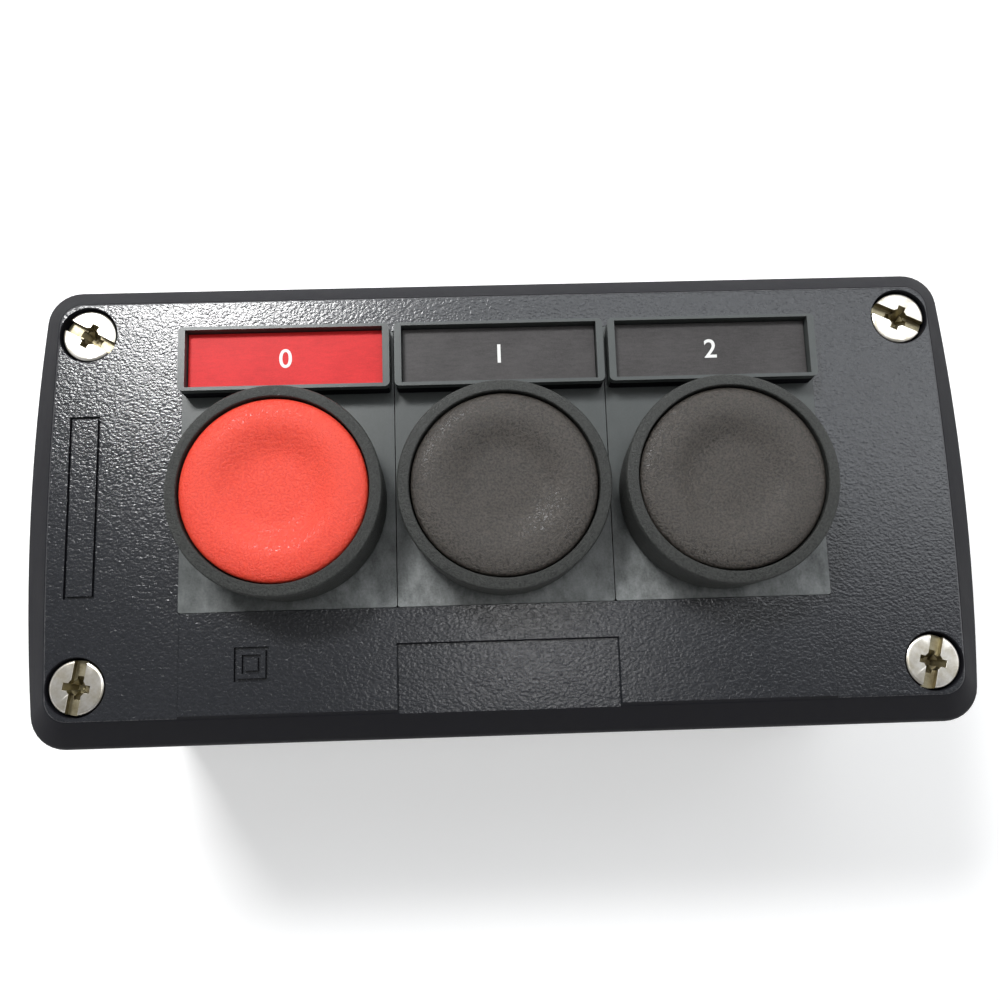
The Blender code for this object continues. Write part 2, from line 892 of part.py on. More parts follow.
# Legend holders and inserts, with heights from the front face
frame_bottom_y = holder_length_up - legend_frame_depth
frame_middle_y = holder_length_up - legend_frame_depth / 2
insert_half_x = holder_width / 2 - legend_frame_side
insert_half_y = legend_frame_depth / 2 - legend_frame_lip
insert_top = legend_frame_height - insert_sink
insert_bottom = insert_top - insert_thickness


def holder_mesh():
    half = holder_width / 2
    plate = box_mesh(
        "legend_holder",
        (-half, -holder_length_down, holder_bottom),
        (half, holder_length_up, holder_top),
    )
    frame_item = new_object(
        "legend frame",
        box_mesh(
            "legend frame",
            (-half, frame_bottom_y, holder_bottom + legend_frame_root),
            (half, holder_length_up, legend_frame_height),
        ),
        cutters,
    )
    add_bevel(frame_item, frame_edge_round, 2)
    recess_x, recess_y = insert_half_x + clearance, insert_half_y + clearance
    recess_floor = insert_bottom - clearance
    recess = box_mesh(
        "insert recess",
        (-recess_x, frame_middle_y - recess_y, recess_floor),
        (recess_x, frame_middle_y + recess_y, legend_frame_height + overcut),
    )
    core = box_mesh(
        "frame core",
        (frame_floor - recess_x, frame_middle_y - recess_y + frame_floor, holder_bottom - overcut),
        (recess_x - frame_floor, frame_middle_y + recess_y - frame_floor, recess_floor - frame_floor),
    )
    below, above = holder_bottom - overcut, holder_top + overcut
    hole = cylinder_mesh("holder hole", bore_radius, below, above, large_steps)
    notch = key_box("holder notch", clearance, below, above)
    steps = [("UNION", baked(frame_item))]
    steps += [("DIFFERENCE", mesh) for mesh in (recess, core, hole, notch)]
    return worked_mesh("legend_holder", plate, steps)


def insert_mesh():
    return box_mesh(
        "legend_insert",
        (-insert_half_x, frame_middle_y - insert_half_y, insert_bottom),
        (insert_half_x, frame_middle_y + insert_half_y, insert_top),
    )


# Push heads, with heights from the front face
def head_body_mesh():
    groove_in = seal_inner_radius - clearance
    groove_out = seal_outer_radius + clearance
    groove_top = bezel_bottom + seal_thickness + clearance
    profile = [
        (cap_well_radius, bezel_height + bezel_rise),
        (bezel_top_radius - 2 * bezel_edge, bezel_height + bezel_edge),
        (bezel_top_radius, bezel_height - bezel_edge),
        (bezel_base_radius, bezel_bottom),
        (groove_out, bezel_bottom),
        (groove_out, groove_top),
        (groove_in, groove_top),
        (groove_in, bezel_bottom),
        (barrel_radius, bezel_bottom),
        (barrel_radius, barrel_bottom),
        (stem_hole_radius, barrel_bottom),
        (stem_hole_radius, barrel_floor_top),
        (barrel_inner_radius, barrel_floor_top),
        (barrel_inner_radius, cap_well_floor),
        (cap_well_radius, cap_well_floor),
    ]
    key = key_box("head key", 0, ceiling, holder_top)
    return worked_mesh("head_body", turned_mesh("head_body", profile, large_steps), [("UNION", key)])


def head_seal_mesh():
    profile = [
        (seal_outer_radius, bezel_bottom + seal_thickness),
        (seal_outer_radius, bezel_bottom),
        (seal_inner_radius, bezel_bottom),
        (seal_inner_radius, bezel_bottom + seal_thickness),
    ]
    return turned_mesh("head_seal", profile, large_steps)


def head_nut_mesh():
    top = ceiling - clearance
    points_per_notch = 4
    count = nut_notches * points_per_notch
    outline = []
    for i in range(count):
        radius = nut_outer_radius if i % points_per_notch < 2 else nut_outer_radius - nut_notch_depth
        angle = 2 * math.pi * (i + (0.3 if i % 2 else 0)) / count
        outline.append((radius * math.cos(angle), radius * math.sin(angle)))
    body = prism_mesh("head_nut", outline, top - nut_height, top)
    thread = cylinder_mesh("nut thread", bore_radius, top - nut_height - overcut, top + overcut, large_steps)
    return worked_mesh("head_nut", body, [("DIFFERENCE", thread)])


def cap_mesh():
    crest = cap_radius - cap_crest_inset
    dish_steps = 3
    dish = []
    for i in range(dish_steps + 1):
        share = i / dish_steps
        dish.append((crest * share, cap_height - cap_dish * (1 - share**2)))
    profile = dish + [
        (cap_radius - cap_shoulder_inset, cap_height - cap_shoulder_drop),
        (cap_radius, cap_height - cap_edge_drop),
        (cap_radius, cap_underside),
        (cap_plug_radius, cap_underside),
        (cap_plug_radius, cap_underside - cap_plug_length),
        (0, cap_underside - cap_plug_length),
    ]
    return turned_mesh("button_cap", profile, large_steps)


def pusher_mesh():
    skirt_inner = pusher_radius - pusher_skirt_thickness
    disc_bottom = pusher_top - pusher_disc_thickness
    socket_bottom = cap_underside - cap_plug_length - clearance
    snap_top = barrel_bottom - clearance
    snap_radius = stem_radius + snap_reach
    profile = [
        (cap_plug_radius + clearance, pusher_top),
        (pusher_radius, pusher_top),
        (pusher_radius, pusher_top - pusher_skirt_length),
        (skirt_inner, pusher_top - pusher_skirt_length),
        (skirt_inner, disc_bottom),
        (stem_radius, disc_bottom),
        (stem_radius, snap_top),
        (snap_radius, snap_top),
        (stem_radius, snap_top - snap_length),
        (stem_radius, stem_bottom),
        (0, stem_bottom),
        (0, socket_bottom),
        (cap_plug_radius + clearance, socket_bottom),
    ]
    return turned_mesh("pusher", profile, medium_steps)


def return_spring_mesh():
    bottom = barrel_floor_top + clearance
    top = pusher_top - pusher_disc_thickness - clearance
    radius = pusher_radius - pusher_skirt_thickness - return_coil_gap - return_wire_radius
    return coil_mesh("return_spring", radius, return_wire_radius, bottom, top, return_turns)


def make_heads():
    each_station("legend_holder", holder_mesh(), "holder plastic", "face")
    each_station("legend_insert", insert_mesh(), insert_colours, "face")
    each_station("head_body", head_body_mesh(), "bezel plastic", "face")
    each_station("head_seal", head_seal_mesh(), "seal rubber", "face")
    each_station("head_nut", head_nut_mesh(), "nut plastic", "face")
    each_station("button_cap", cap_mesh(), button_colours, "face")
    each_station("pusher", pusher_mesh(), "pusher plastic", "face")
    each_station("return_spring", return_spring_mesh(), "spring steel", "face")


# Contact blocks, with heights from the back of the box
tower_y = block_tower_length / 2
room_y = tower_y - block_wall
riser_y = room_y - riser_gap - bar_thickness
tip_y = riser_y - tip_riser_gap - tip_radius
terminal_screw_y = block_length / 2 - terminal_screw_inset
shank_hole_radius = terminal_shank_radius + clearance


def block_mesh():
    half_x, half_y = block_width / 2, block_length / 2
    shoulder = terminal_slot_top + terminal_roof
    open_x = half_x + overcut
    back_x = block_wall - half_x
    foot = box_mesh("contact_housing", (-half_x, -half_y, block_bottom), (half_x, half_y, shoulder))
    tower = box_mesh("tower", (-half_x, -tower_y, block_bottom + root), (half_x, tower_y, block_top))
    room = box_mesh("contact room", (back_x, -room_y, cavity_bottom), (open_x, room_y, cavity_top))
    throat_x, throat_y = plunger_width / 2 + clearance, plunger_length / 2 + clearance
    throat = box_mesh(
        "plunger opening",
        (-throat_x, -throat_y, cavity_top - overcut),
        (throat_x, throat_y, block_top + overcut),
    )
    steps = [("UNION", tower), ("DIFFERENCE", room), ("DIFFERENCE", throat)]
    for side in (-1, 1):
        place = (0, side * terminal_screw_y)
        near, far = sorted((side * (room_y - overcut / 2), side * (half_y + overcut)))
        slot = box_mesh(
            f"terminal slot {side}",
            (back_x, near, terminal_level - clearance),
            (open_x, far, terminal_slot_top),
        )
        access = cylinder_mesh(
            f"screw access {side}", terminal_head_radius + clearance, terminal_slot_top - overcut,
            shoulder + overcut, medium_steps, place,
        )
        well = cylinder_mesh(
            f"screw well {side}", shank_hole_radius, terminal_level - terminal_screw_length,
            terminal_level, small_steps, place,
        )
        steps += [("DIFFERENCE", mesh) for mesh in (slot, access, well)]
    return worked_mesh("contact_housing", foot, steps)


def plunger_mesh(opens):
    half_x, half_y = plunger_width / 2, plunger_length / 2
    flange_x, flange_y = half_x - plunger_flange_inset, half_y + plunger_flange_reach
    window_x = bridge_width / 2 + window_play
    column = box_mesh("contact_plunger", (-half_x, -half_y, plunger_bottom), (half_x, half_y, plunger_top))
    flange = box_mesh(
        "plunger flange",
        (-flange_x, -flange_y, flange_top - plunger_flange_height),
        (flange_x, flange_y, flange_top),
    )
    window = box_mesh(
        "plunger window",
        (-window_x, -half_y - overcut, sill_top),
        (window_x, half_y + overcut, window_top[opens]),
    )
    pin = cylinder_mesh(
        "plunger pin", plunger_pin_radius, plunger_bottom - plunger_pin_length,
        plunger_bottom + plunger_pin_root, small_steps,
    )
    return worked_mesh(
        "contact_plunger", column, [("UNION", flange), ("DIFFERENCE", window), ("UNION", pin)]
    )


# A contact tip that stands on a face, upwards at 1 or downwards at -1.
def tip_mesh(name, y, surface, direction):
    low, high = sorted((surface - direction * tip_root, surface + direction * tip_height))
    return cylinder_mesh(name, tip_radius, low, high, small_steps, (0, y))


def bridge_mesh(opens):
    half_y = tip_y + bridge_end
    strip = box_mesh(
        "contact_bridge",
        (-bridge_width / 2, -half_y, strip_bottom[opens]),
        (bridge_width / 2, half_y, strip_top[opens]),
    )
    surface, direction = (strip_top[opens], 1) if opens else (strip_bottom[opens], -1)
    tips = [tip_mesh(f"bridge tip {side}", side * tip_y, surface, direction) for side in (-1, 1)]
    return worked_mesh("contact_bridge", strip, [("UNION", tip) for tip in tips])


# The fixed bar at the +Y end; where the circuit opens, it steps up over the bridge.
def bar_mesh(opens):
    half_x = bar_width / 2
    top = bar_top[opens]
    under = top - bar_thickness
    low = terminal_level
    outer_end = block_length / 2 - bar_outer_gap
    inner_end = tip_y - bar_end
    riser_end = riser_y + bar_thickness
    outer = box_mesh("terminal_bar", (-half_x, riser_y, low), (half_x, outer_end, low + bar_thickness))
    riser = box_mesh("bar riser", (-half_x, riser_y, low), (half_x, riser_end, top))
    arm = box_mesh("bar arm", (-half_x, inner_end, under), (half_x, riser_end, top))
    tip = tip_mesh("bar tip", tip_y, under if opens else top, -1 if opens else 1)
    hole = cylinder_mesh(
        "bar hole", shank_hole_radius, low - overcut, low + bar_thickness + overcut, small_steps,
        (0, terminal_screw_y),
    )
    steps = [("UNION", mesh) for mesh in (riser, arm, tip)] + [("DIFFERENCE", hole)]
    return worked_mesh("terminal_bar", outer, steps)


def terminal_screw_mesh():
    head_bottom = terminal_level + bar_thickness + clearance
    head_top = head_bottom + terminal_head_height
    shank_bottom = terminal_level - terminal_screw_length + clearance
    body = turned_mesh(
        "terminal_screw",
        [
            (0, head_top),
            (terminal_head_radius, head_top),
            (terminal_head_radius, head_bottom),
            (terminal_shank_radius, head_bottom),
            (terminal_shank_radius, shank_bottom),
            (0, shank_bottom),
        ],
        small_steps,
    )
    half = terminal_slot_width / 2
    reach = terminal_head_radius + overcut
    slot = box_mesh(
        "screw slot", (-reach, -half, head_top - terminal_slot_depth), (reach, half, head_top + overcut)
    )
    return worked_mesh("terminal_screw", body, [("DIFFERENCE", slot)])


def contact_spring_mesh(opens):
    bottom = (sill_top if opens else strip_top[opens]) + clearance
    return coil_mesh(
        "contact_spring", contact_coil_radius, contact_wire_radius, bottom,
        bottom + contact_spring_length, coil_turns,
    )


def plunger_spring_mesh():
    bottom = cavity_bottom + clearance
    radius = plunger_pin_radius + plunger_coil_gap + plunger_wire_radius
    return coil_mesh(
        "plunger_spring", radius, plunger_wire_radius, bottom, bottom + plunger_spring_length, coil_turns
    )


def for_each_kind(build):
    kinds = {opens: build(opens) for opens in (True, False)}
    return {station: kinds[opens_circuit[station]] for station in stations}


def make_contact_blocks():
    each_station("contact_housing", block_mesh(), "contact housing", "back")
    each_station("contact_plunger", for_each_kind(plunger_mesh), "pusher plastic", "back")
    each_station("contact_bridge", for_each_kind(bridge_mesh), "contact brass", "back")
    each_station("contact_spring", for_each_kind(contact_spring_mesh), "spring steel", "back")
    each_station("plunger_spring", plunger_spring_mesh(), "spring steel", "back")
    bars = for_each_kind(bar_mesh)
    screw = terminal_screw_mesh()
    for word, turn in (("a", 0.0), ("b", math.pi)):
        for name, mesh, colour in (
            ("terminal_bar", bars, "contact brass"),
            ("terminal_screw", screw, "terminal steel"),
        ):
            for item in each_station(f"{name}_{word}", mesh, colour, "back").values():
                item.location.y = 0
                item.rotation_euler.z = turn
    for station in stations:
        for word, side in (("a", 1), ("b", -1)):
            item = bpy.data.objects[f"terminal_screw_{word}_{station}"]
            item.location.y = side * terminal_screw_y


make_base()
make_gasket()
make_cover()
make_cover_screws()
make_heads()
make_contact_blocks()
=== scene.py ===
import json
import math

import bmesh
import bpy
from mathutils import Matrix, Vector


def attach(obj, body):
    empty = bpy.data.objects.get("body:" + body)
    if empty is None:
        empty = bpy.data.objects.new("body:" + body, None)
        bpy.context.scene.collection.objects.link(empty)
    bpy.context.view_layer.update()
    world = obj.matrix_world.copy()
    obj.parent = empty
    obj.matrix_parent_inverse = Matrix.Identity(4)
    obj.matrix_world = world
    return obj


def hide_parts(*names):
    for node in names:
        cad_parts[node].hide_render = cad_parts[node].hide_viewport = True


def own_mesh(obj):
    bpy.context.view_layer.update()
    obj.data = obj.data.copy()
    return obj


mm = 0.001
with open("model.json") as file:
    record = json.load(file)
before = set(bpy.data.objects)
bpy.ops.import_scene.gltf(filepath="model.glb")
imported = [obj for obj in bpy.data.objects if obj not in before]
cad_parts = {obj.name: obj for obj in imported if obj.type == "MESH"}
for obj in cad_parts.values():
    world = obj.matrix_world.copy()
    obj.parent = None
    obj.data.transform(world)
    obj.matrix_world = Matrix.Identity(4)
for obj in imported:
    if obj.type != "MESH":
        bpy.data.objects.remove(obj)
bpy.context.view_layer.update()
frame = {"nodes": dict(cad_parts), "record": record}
nodes = frame["nodes"]
stationPlaces = {"left": -30 * mm, "middle": 0.0, "right": 30 * mm}  # heads along X
headLine = -0.4 * mm  # Y of the three heads
face = 53 * mm  # front face above the back
print("frame loaded:", len(nodes), "nodes")


# camera, light and floor
studio = {
    "cameraPlace": (-3.154, -27.157, 163.95),
    "cameraRight": (0.99938, -0.03156, 0.0159),
    "cameraUp": (0.02912, 0.99035, 0.1355),
    "cameraBack": (-0.02002, -0.13495, 0.99065),
    "lens": 29.2,
    "shift": (0.0005, 0.0802),
    "skyStrength": 0.22,
    "floorColour": (0.82, 0.82, 0.82),
    "floorPaler": (0.85, 0.85, 0.85),
    "floorRadius": 1.6,
    "wallSteps": ((1.15, 0.03), (1.1, 0.12), (1.06, 0.25), (1.02, 1.5)),  # share outwards, metres up
    "groundLift": 0.4,
    "wallLift": 0.5,
    "liftRange": (0.25, 0.9),
}
lamps = {
    "windowLamp": {
        "place": (-0.2, 0.29, 0.48), "target": (-0.03, 0.0, 0.05), "size": (0.15, 0.09), "power": 2.15,
    },
    "topLamp": {
        "place": (0.14, 0.3, 0.58), "target": (0.0, 0.0, 0.05), "size": (0.75, 0.24), "power": 1.35,
        "colour": (0.94, 0.97, 1.0),
    },
    "rightLamp": {
        "place": (0.5, 0.1, 0.4), "target": (0.0, 0.0, 0.04), "size": (0.3, 0.4), "power": 0.3,
        "colour": (0.93, 0.96, 1.0),
    },
    "backLamp": {
        "place": (0.0, 0.55, 0.22), "target": (0.0, 0.0, 0.05), "size": (0.9, 0.2), "power": 0.8,
    },
    "overheadLamp": {
        "place": (0.04, 0.01, 0.65), "target": (0.0, -0.01, 0.05), "size": (0.1, 0.1), "power": 0.22,
    },
    "frontLamp": {
        "place": (0.0, -0.6, 0.09), "target": (0.0, 0.0, 0.03), "size": (0.8, 0.12), "power": 0.35,
    },
}


def addCamera():
    lens = bpy.data.cameras.new("photoCamera")
    lens.sensor_width = 36
    lens.lens = studio["lens"]
    lens.shift_x, lens.shift_y = studio["shift"]
    lens.clip_start = 0.01
    camera = bpy.data.objects.new("photoCamera", lens)
    bpy.context.scene.collection.objects.link(camera)
    turn = Matrix((studio["cameraRight"], studio["cameraUp"], studio["cameraBack"])).transposed()
    camera.matrix_world = Matrix.LocRotScale(Vector(studio["cameraPlace"]) * mm, turn, None)
    bpy.context.scene.camera = camera


def addLamp(name, place, target, size, power, colour=(1, 1, 1)):
    lamp = bpy.data.lights.new(name, "AREA")
    lamp.shape = "RECTANGLE"
    lamp.size, lamp.size_y = size
    lamp.energy = power
    lamp.color = colour
    holder = bpy.data.objects.new(name, lamp)
    bpy.context.scene.collection.objects.link(holder)
    aim = Vector(target) - Vector(place)
    holder.location = place
    holder.rotation_euler = aim.to_track_quat("-Z", "Y").to_euler()


addCamera()
for lampName, values in lamps.items():
    addLamp(lampName, **values)


# materials, as sums on sockets
class Signal:
    def __init__(self, tree, socket):
        self.tree = tree
        self.socket = socket

    def sums(self, operation, *values):
        return putNode(self.tree, "ShaderNodeMath", {"operation": operation}, values)

    def __add__(self, other):
        return self.sums("ADD", self, other)

    def __radd__(self, other):
        return self.sums("ADD", other, self)

    def __sub__(self, other):
        return self.sums("SUBTRACT", self, other)

    def __rsub__(self, other):
        return self.sums("SUBTRACT", other, self)

    def __mul__(self, other):
        return self.sums("MULTIPLY", self, other)

    def __rmul__(self, other):
        return self.sums("MULTIPLY", other, self)


# One node of any type: its settings first, then values or links for its inputs, by place or by name.
def putNode(tree, kind, settings, inputs, output=0):
    node = tree.nodes.new(kind)
    for name, value in settings.items():
        setattr(node, name, value)
    pairs = inputs.items() if isinstance(inputs, dict) else enumerate(inputs)
    for key, value in pairs:
        if isinstance(value, Signal):
            tree.links.new(value.socket, node.inputs[key])
        elif value is not None:
            node.inputs[key].default_value = value
    return Signal(tree, node.outputs[output])


class Finish:
    def __init__(self, name, roughness=0.5, metallic=0.0, specular=0.5):
        self.material = bpy.data.materials.new(name)
        self.material.use_nodes = True
        self.tree = self.material.node_tree
        self.shader = self.tree.nodes["Principled BSDF"]
        self.shader.inputs["Roughness"].default_value = roughness
        self.shader.inputs["Metallic"].default_value = metallic
        self.shader.inputs["Specular IOR Level"].default_value = specular
        self.place = putNode(self.tree, "ShaderNodeTexCoord", {}, (), "Object")

    def stretched(self, scale, turn=0.0):
        inputs = {"Vector": self.place, "Scale": scale, "Rotation": (0, 0, turn)}
        return putNode(self.tree, "ShaderNodeMapping", {}, inputs)

    def along(self, axis):
        return putNode(self.tree, "ShaderNodeSeparateXYZ", {}, (self.place,), axis)

    def noise(self, size, detail=2.0, rough=0.5, place=None, distortion=0.0):
        inputs = {"Vector": place or self.place, "Scale": 1 / size, "Detail": detail,
                  "Roughness": rough, "Distortion": distortion}
        return putNode(self.tree, "ShaderNodeTexNoise", {}, inputs)

    def softCells(self, size, smoothness, place=None):
        inputs = {"Vector": place or self.place, "Scale": 1 / size, "Smoothness": smoothness}
        return putNode(self.tree, "ShaderNodeTexVoronoi", {"feature": "SMOOTH_F1"}, inputs, "Distance")

    def between(self, mask, low, high):
        inputs = {"Value": mask, "From Min": low, "From Max": high}
        return putNode(self.tree, "ShaderNodeMapRange", {}, inputs)

    def blend(self, mask, first, second):
        colour = lambda value: value if isinstance(value, Signal) else (*value, 1)
        inputs = {0: mask, 6: colour(first), 7: colour(second)}
        return putNode(self.tree, "ShaderNodeMix", {"data_type": "RGBA"}, inputs, 2)

    def set(self, name, value):
        self.tree.links.new(value.socket, self.shader.inputs[name])

    # Heights in metres, each with its own bump, from the broadest to the finest.
    def relief(self, *layers):
        normal = None
        for height, depth, strength in layers:
            inputs = {"Height": height, "Distance": depth, "Strength": strength, "Normal": normal}
            normal = putNode(self.tree, "ShaderNodeBump", {}, inputs)
        self.set("Normal", normal)


# The floor takes the object's shadow, and shows as a white ground to the camera and in gloss and glass.
def makeFloor():
    look = Finish("studioFloor", roughness=0.9, specular=0.1)
    look.set("Base Color", look.blend(look.noise(0.05, 3), studio["floorColour"], studio["floorPaler"]))
    shown = putNode(look.tree, "ShaderNodeLightPath", {}, (), "Is Camera Ray")
    for ray in ("Is Glossy Ray", "Is Transmission Ray"):
        shown = shown.sums("MAXIMUM", shown, putNode(look.tree, "ShaderNodeLightPath", {}, (), ray))
    away = putNode(look.tree, "ShaderNodeVectorMath", {"operation": "LENGTH"}, (look.place,), "Value")
    lift = studio["groundLift"] + studio["wallLift"] * look.between(away, *studio["liftRange"])
    look.set("Emission Color", look.blend(shown * lift, (0, 0, 0), (1, 1, 1)))
    look.shader.inputs["Emission Strength"].default_value = 1.0
    return look.material


# A flat floor just under the object curves up into a pale wall, far from it.
def addFloor():
    bpy.ops.object.select_all(action="DESELECT")
    bpy.ops.mesh.primitive_circle_add(
        vertices=96, radius=studio["floorRadius"], fill_type="NGON", location=(0, 0, -0.3 * mm)
    )
    floor = bpy.context.object
    floor.name = "studioFloor"
    bpy.ops.object.transform_apply(location=True, rotation=True, scale=True)
    bpy.ops.object.mode_set(mode="EDIT")
    for reach, rise in studio["wallSteps"]:
        bpy.ops.mesh.select_all(action="SELECT")
        bpy.ops.mesh.region_to_loop()
        bpy.ops.mesh.extrude_edges_move(TRANSFORM_OT_translate={"value": (0, 0, rise)})
        bpy.ops.transform.resize(value=(reach, reach, 1))
    bpy.ops.mesh.select_all(action="SELECT")
    bpy.ops.mesh.normals_make_consistent(inside=True)
    bpy.ops.object.mode_set(mode="OBJECT")
    bpy.ops.object.shade_smooth()
    floor.data.materials.append(makeFloor())
    world = bpy.data.worlds.new("studioSky")
    world.use_nodes = True
    bpy.context.scene.world = world
    world.node_tree.nodes["Background"].inputs["Color"].default_value = (1, 1, 1, 1)
    world.node_tree.nodes["Background"].inputs["Strength"].default_value = studio["skyStrength"]
    bpy.context.scene.view_settings.view_transform = "Standard"


addFloor()
print("camera, lamps and floor set")

coverLook = {
    "colour": (0.012, 0.0135, 0.017),
    "paler": (0.024, 0.0255, 0.031),
    "wrinkleSize": 0.44 * mm,
    "wrinkleDepth": 0.017 * mm,
    "pebbleDepth": 0.026 * mm,
    "grainSize": 0.26 * mm,
    "grainDepth": 0.006 * mm,
    "roughness": 0.17,
    "specular": 0.7,
}


# Moulded grain: blunt wrinkles between fine creases, with pebbles among them and a finer grit.
def makeGrain():
    look = Finish("coverGrain", roughness=coverLook["roughness"], specular=coverLook["specular"])
    flow = look.stretched((0.9, 1.2, 1.0), 0.15)
    wrinkle = look.noise(coverLook["wrinkleSize"], 2.0, 0.55, flow, 0.35)
    pebble = 1 - look.softCells(coverLook["wrinkleSize"], 0.35, flow)
    grain = look.noise(coverLook["grainSize"], 2.0)
    cloud = look.noise(24 * mm, 2.0)
    ridges = look.between(wrinkle, 0.36, 0.66)
    look.set("Base Color", look.blend(0.45 * ridges + 0.35 * cloud, coverLook["colour"], coverLook["paler"]))
    look.set("Roughness", coverLook["roughness"] - 0.04 + 0.1 * cloud + 0.08 * grain)
    look.relief(
        (ridges, coverLook["wrinkleDepth"], 1.0),
        (pebble, coverLook["pebbleDepth"], 0.9),
        (grain, coverLook["grainDepth"], 0.6),
    )
    return look.material


# Plain moulded plastic: faint clouds and flow lines, and a fine grain of a given size and depth.
def makeMoulded(name, colour, paler, roughness, grainSize=0.12 * mm, grainDepth=0.006 * mm, specular=0.5):
    look = Finish(name, roughness=roughness, specular=specular)
    fine = look.noise(grainSize, 2.0)
    cloud = look.noise(7 * mm, 3.0, 0.6)
    flow = look.noise(1.6 * mm, 3.0, 0.6, look.stretched((1.0, 0.3, 1.0), 0.6))
    look.set("Base Color", look.blend(0.7 * cloud + 0.3 * flow, colour, paler))
    look.set("Roughness", roughness - 0.1 + 0.12 * cloud + 0.1 * flow)
    look.relief((flow, 0.012 * mm, 0.3), (fine, grainDepth, 0.6))
    return look.material


# Plastic from a blasted mould, as on the bezels and caps: small beads and sharp specks.
def makeBlasted(name, colour, paler, roughness, specular=0.4):
    look = Finish(name, roughness=roughness, specular=specular)
    bead = look.softCells(0.42 * mm, 0.4)
    speck = look.between(look.noise(0.3 * mm, 3.0, 0.75), 0.4, 0.6)
    cloud = look.noise(5 * mm, 2.0)
    look.set("Base Color", look.blend(0.2 * cloud + 0.15 * bead + 0.65 * speck, colour, paler))
    look.set("Roughness", roughness - 0.08 + 0.16 * speck)
    look.relief((bead, 0.035 * mm, 0.6), (speck, 0.055 * mm, 0.9))
    return look.material


# Dull moulded plates with paler scuffs where hands rub them: along the lower edge, and less on the left.
def makeScuffed(name, colour, paler, scuffed, roughness):
    look = Finish(name, roughness=roughness, specular=0.45)
    cloud = look.noise(4 * mm, 3.0, 0.6)
    streak = look.noise(1.7 * mm, 5.0, 0.7, look.stretched((1.0, 0.55, 1.0), 0.9))
    fine = look.noise(0.3 * mm, 3.0, 0.7)
    low = 1 - look.between(look.along("Y"), -14 * mm, 4 * mm)
    rubbed = 0.45 + 0.55 * look.between(look.along("X"), -44 * mm, -20 * mm)
    scuff = low * rubbed * look.between(0.5 * streak + 0.2 * fine + 0.3 * cloud, 0.36, 0.66)
    body = look.blend(0.3 * cloud + 0.3 * streak + 0.4 * fine, colour, paler)
    look.set("Base Color", look.blend(0.75 * scuff, body, scuffed))
    look.set("Roughness", roughness - 0.08 + 0.2 * scuff + 0.08 * fine)
    look.relief((streak, 0.01 * mm, 0.5), (fine, 0.012 * mm, 0.7))
    return look.material


# Engraving laminate, brushed across the plate.
def makeLaminate(name, colour, paler):
    look = Finish(name, roughness=0.45, specular=0.2)
    fine = look.noise(0.16 * mm, 2.0)
    cloud = look.noise(6 * mm, 2.0)
    brushed = look.noise(0.35 * mm, 2.0, 0.6, look.stretched((0.25, 1.0, 1.0)))
    mottle = look.between(0.3 * cloud + 0.35 * brushed + 0.35 * fine, 0.3, 0.7)
    look.set("Base Color", look.blend(mottle, colour, paler))
    look.set("Roughness", 0.42 + 0.12 * fine)
    look.relief((brushed, 0.004 * mm, 0.4), (fine, 0.006 * mm, 0.5))
    return look.material


# Metal with stained patches and drawn lines.
def makeMetal(name, colour, stained, roughness, scratch=0.25):
    look = Finish(name, roughness=roughness, metallic=1.0)
    lines = look.noise(0.8 * mm, 3.0, 0.6, look.stretched((1.0, 8.0, 1.0)))
    cloud = look.noise(1.6 * mm, 3.0, 0.65)
    look.set("Base Color", look.blend(look.between(cloud, 0.35, 0.7), colour, stained))
    look.set("Roughness", roughness + 0.14 * cloud + 0.08 * lines)
    look.relief((cloud, 0.03 * mm, scratch), (lines, 0.01 * mm, scratch))
    return look.material


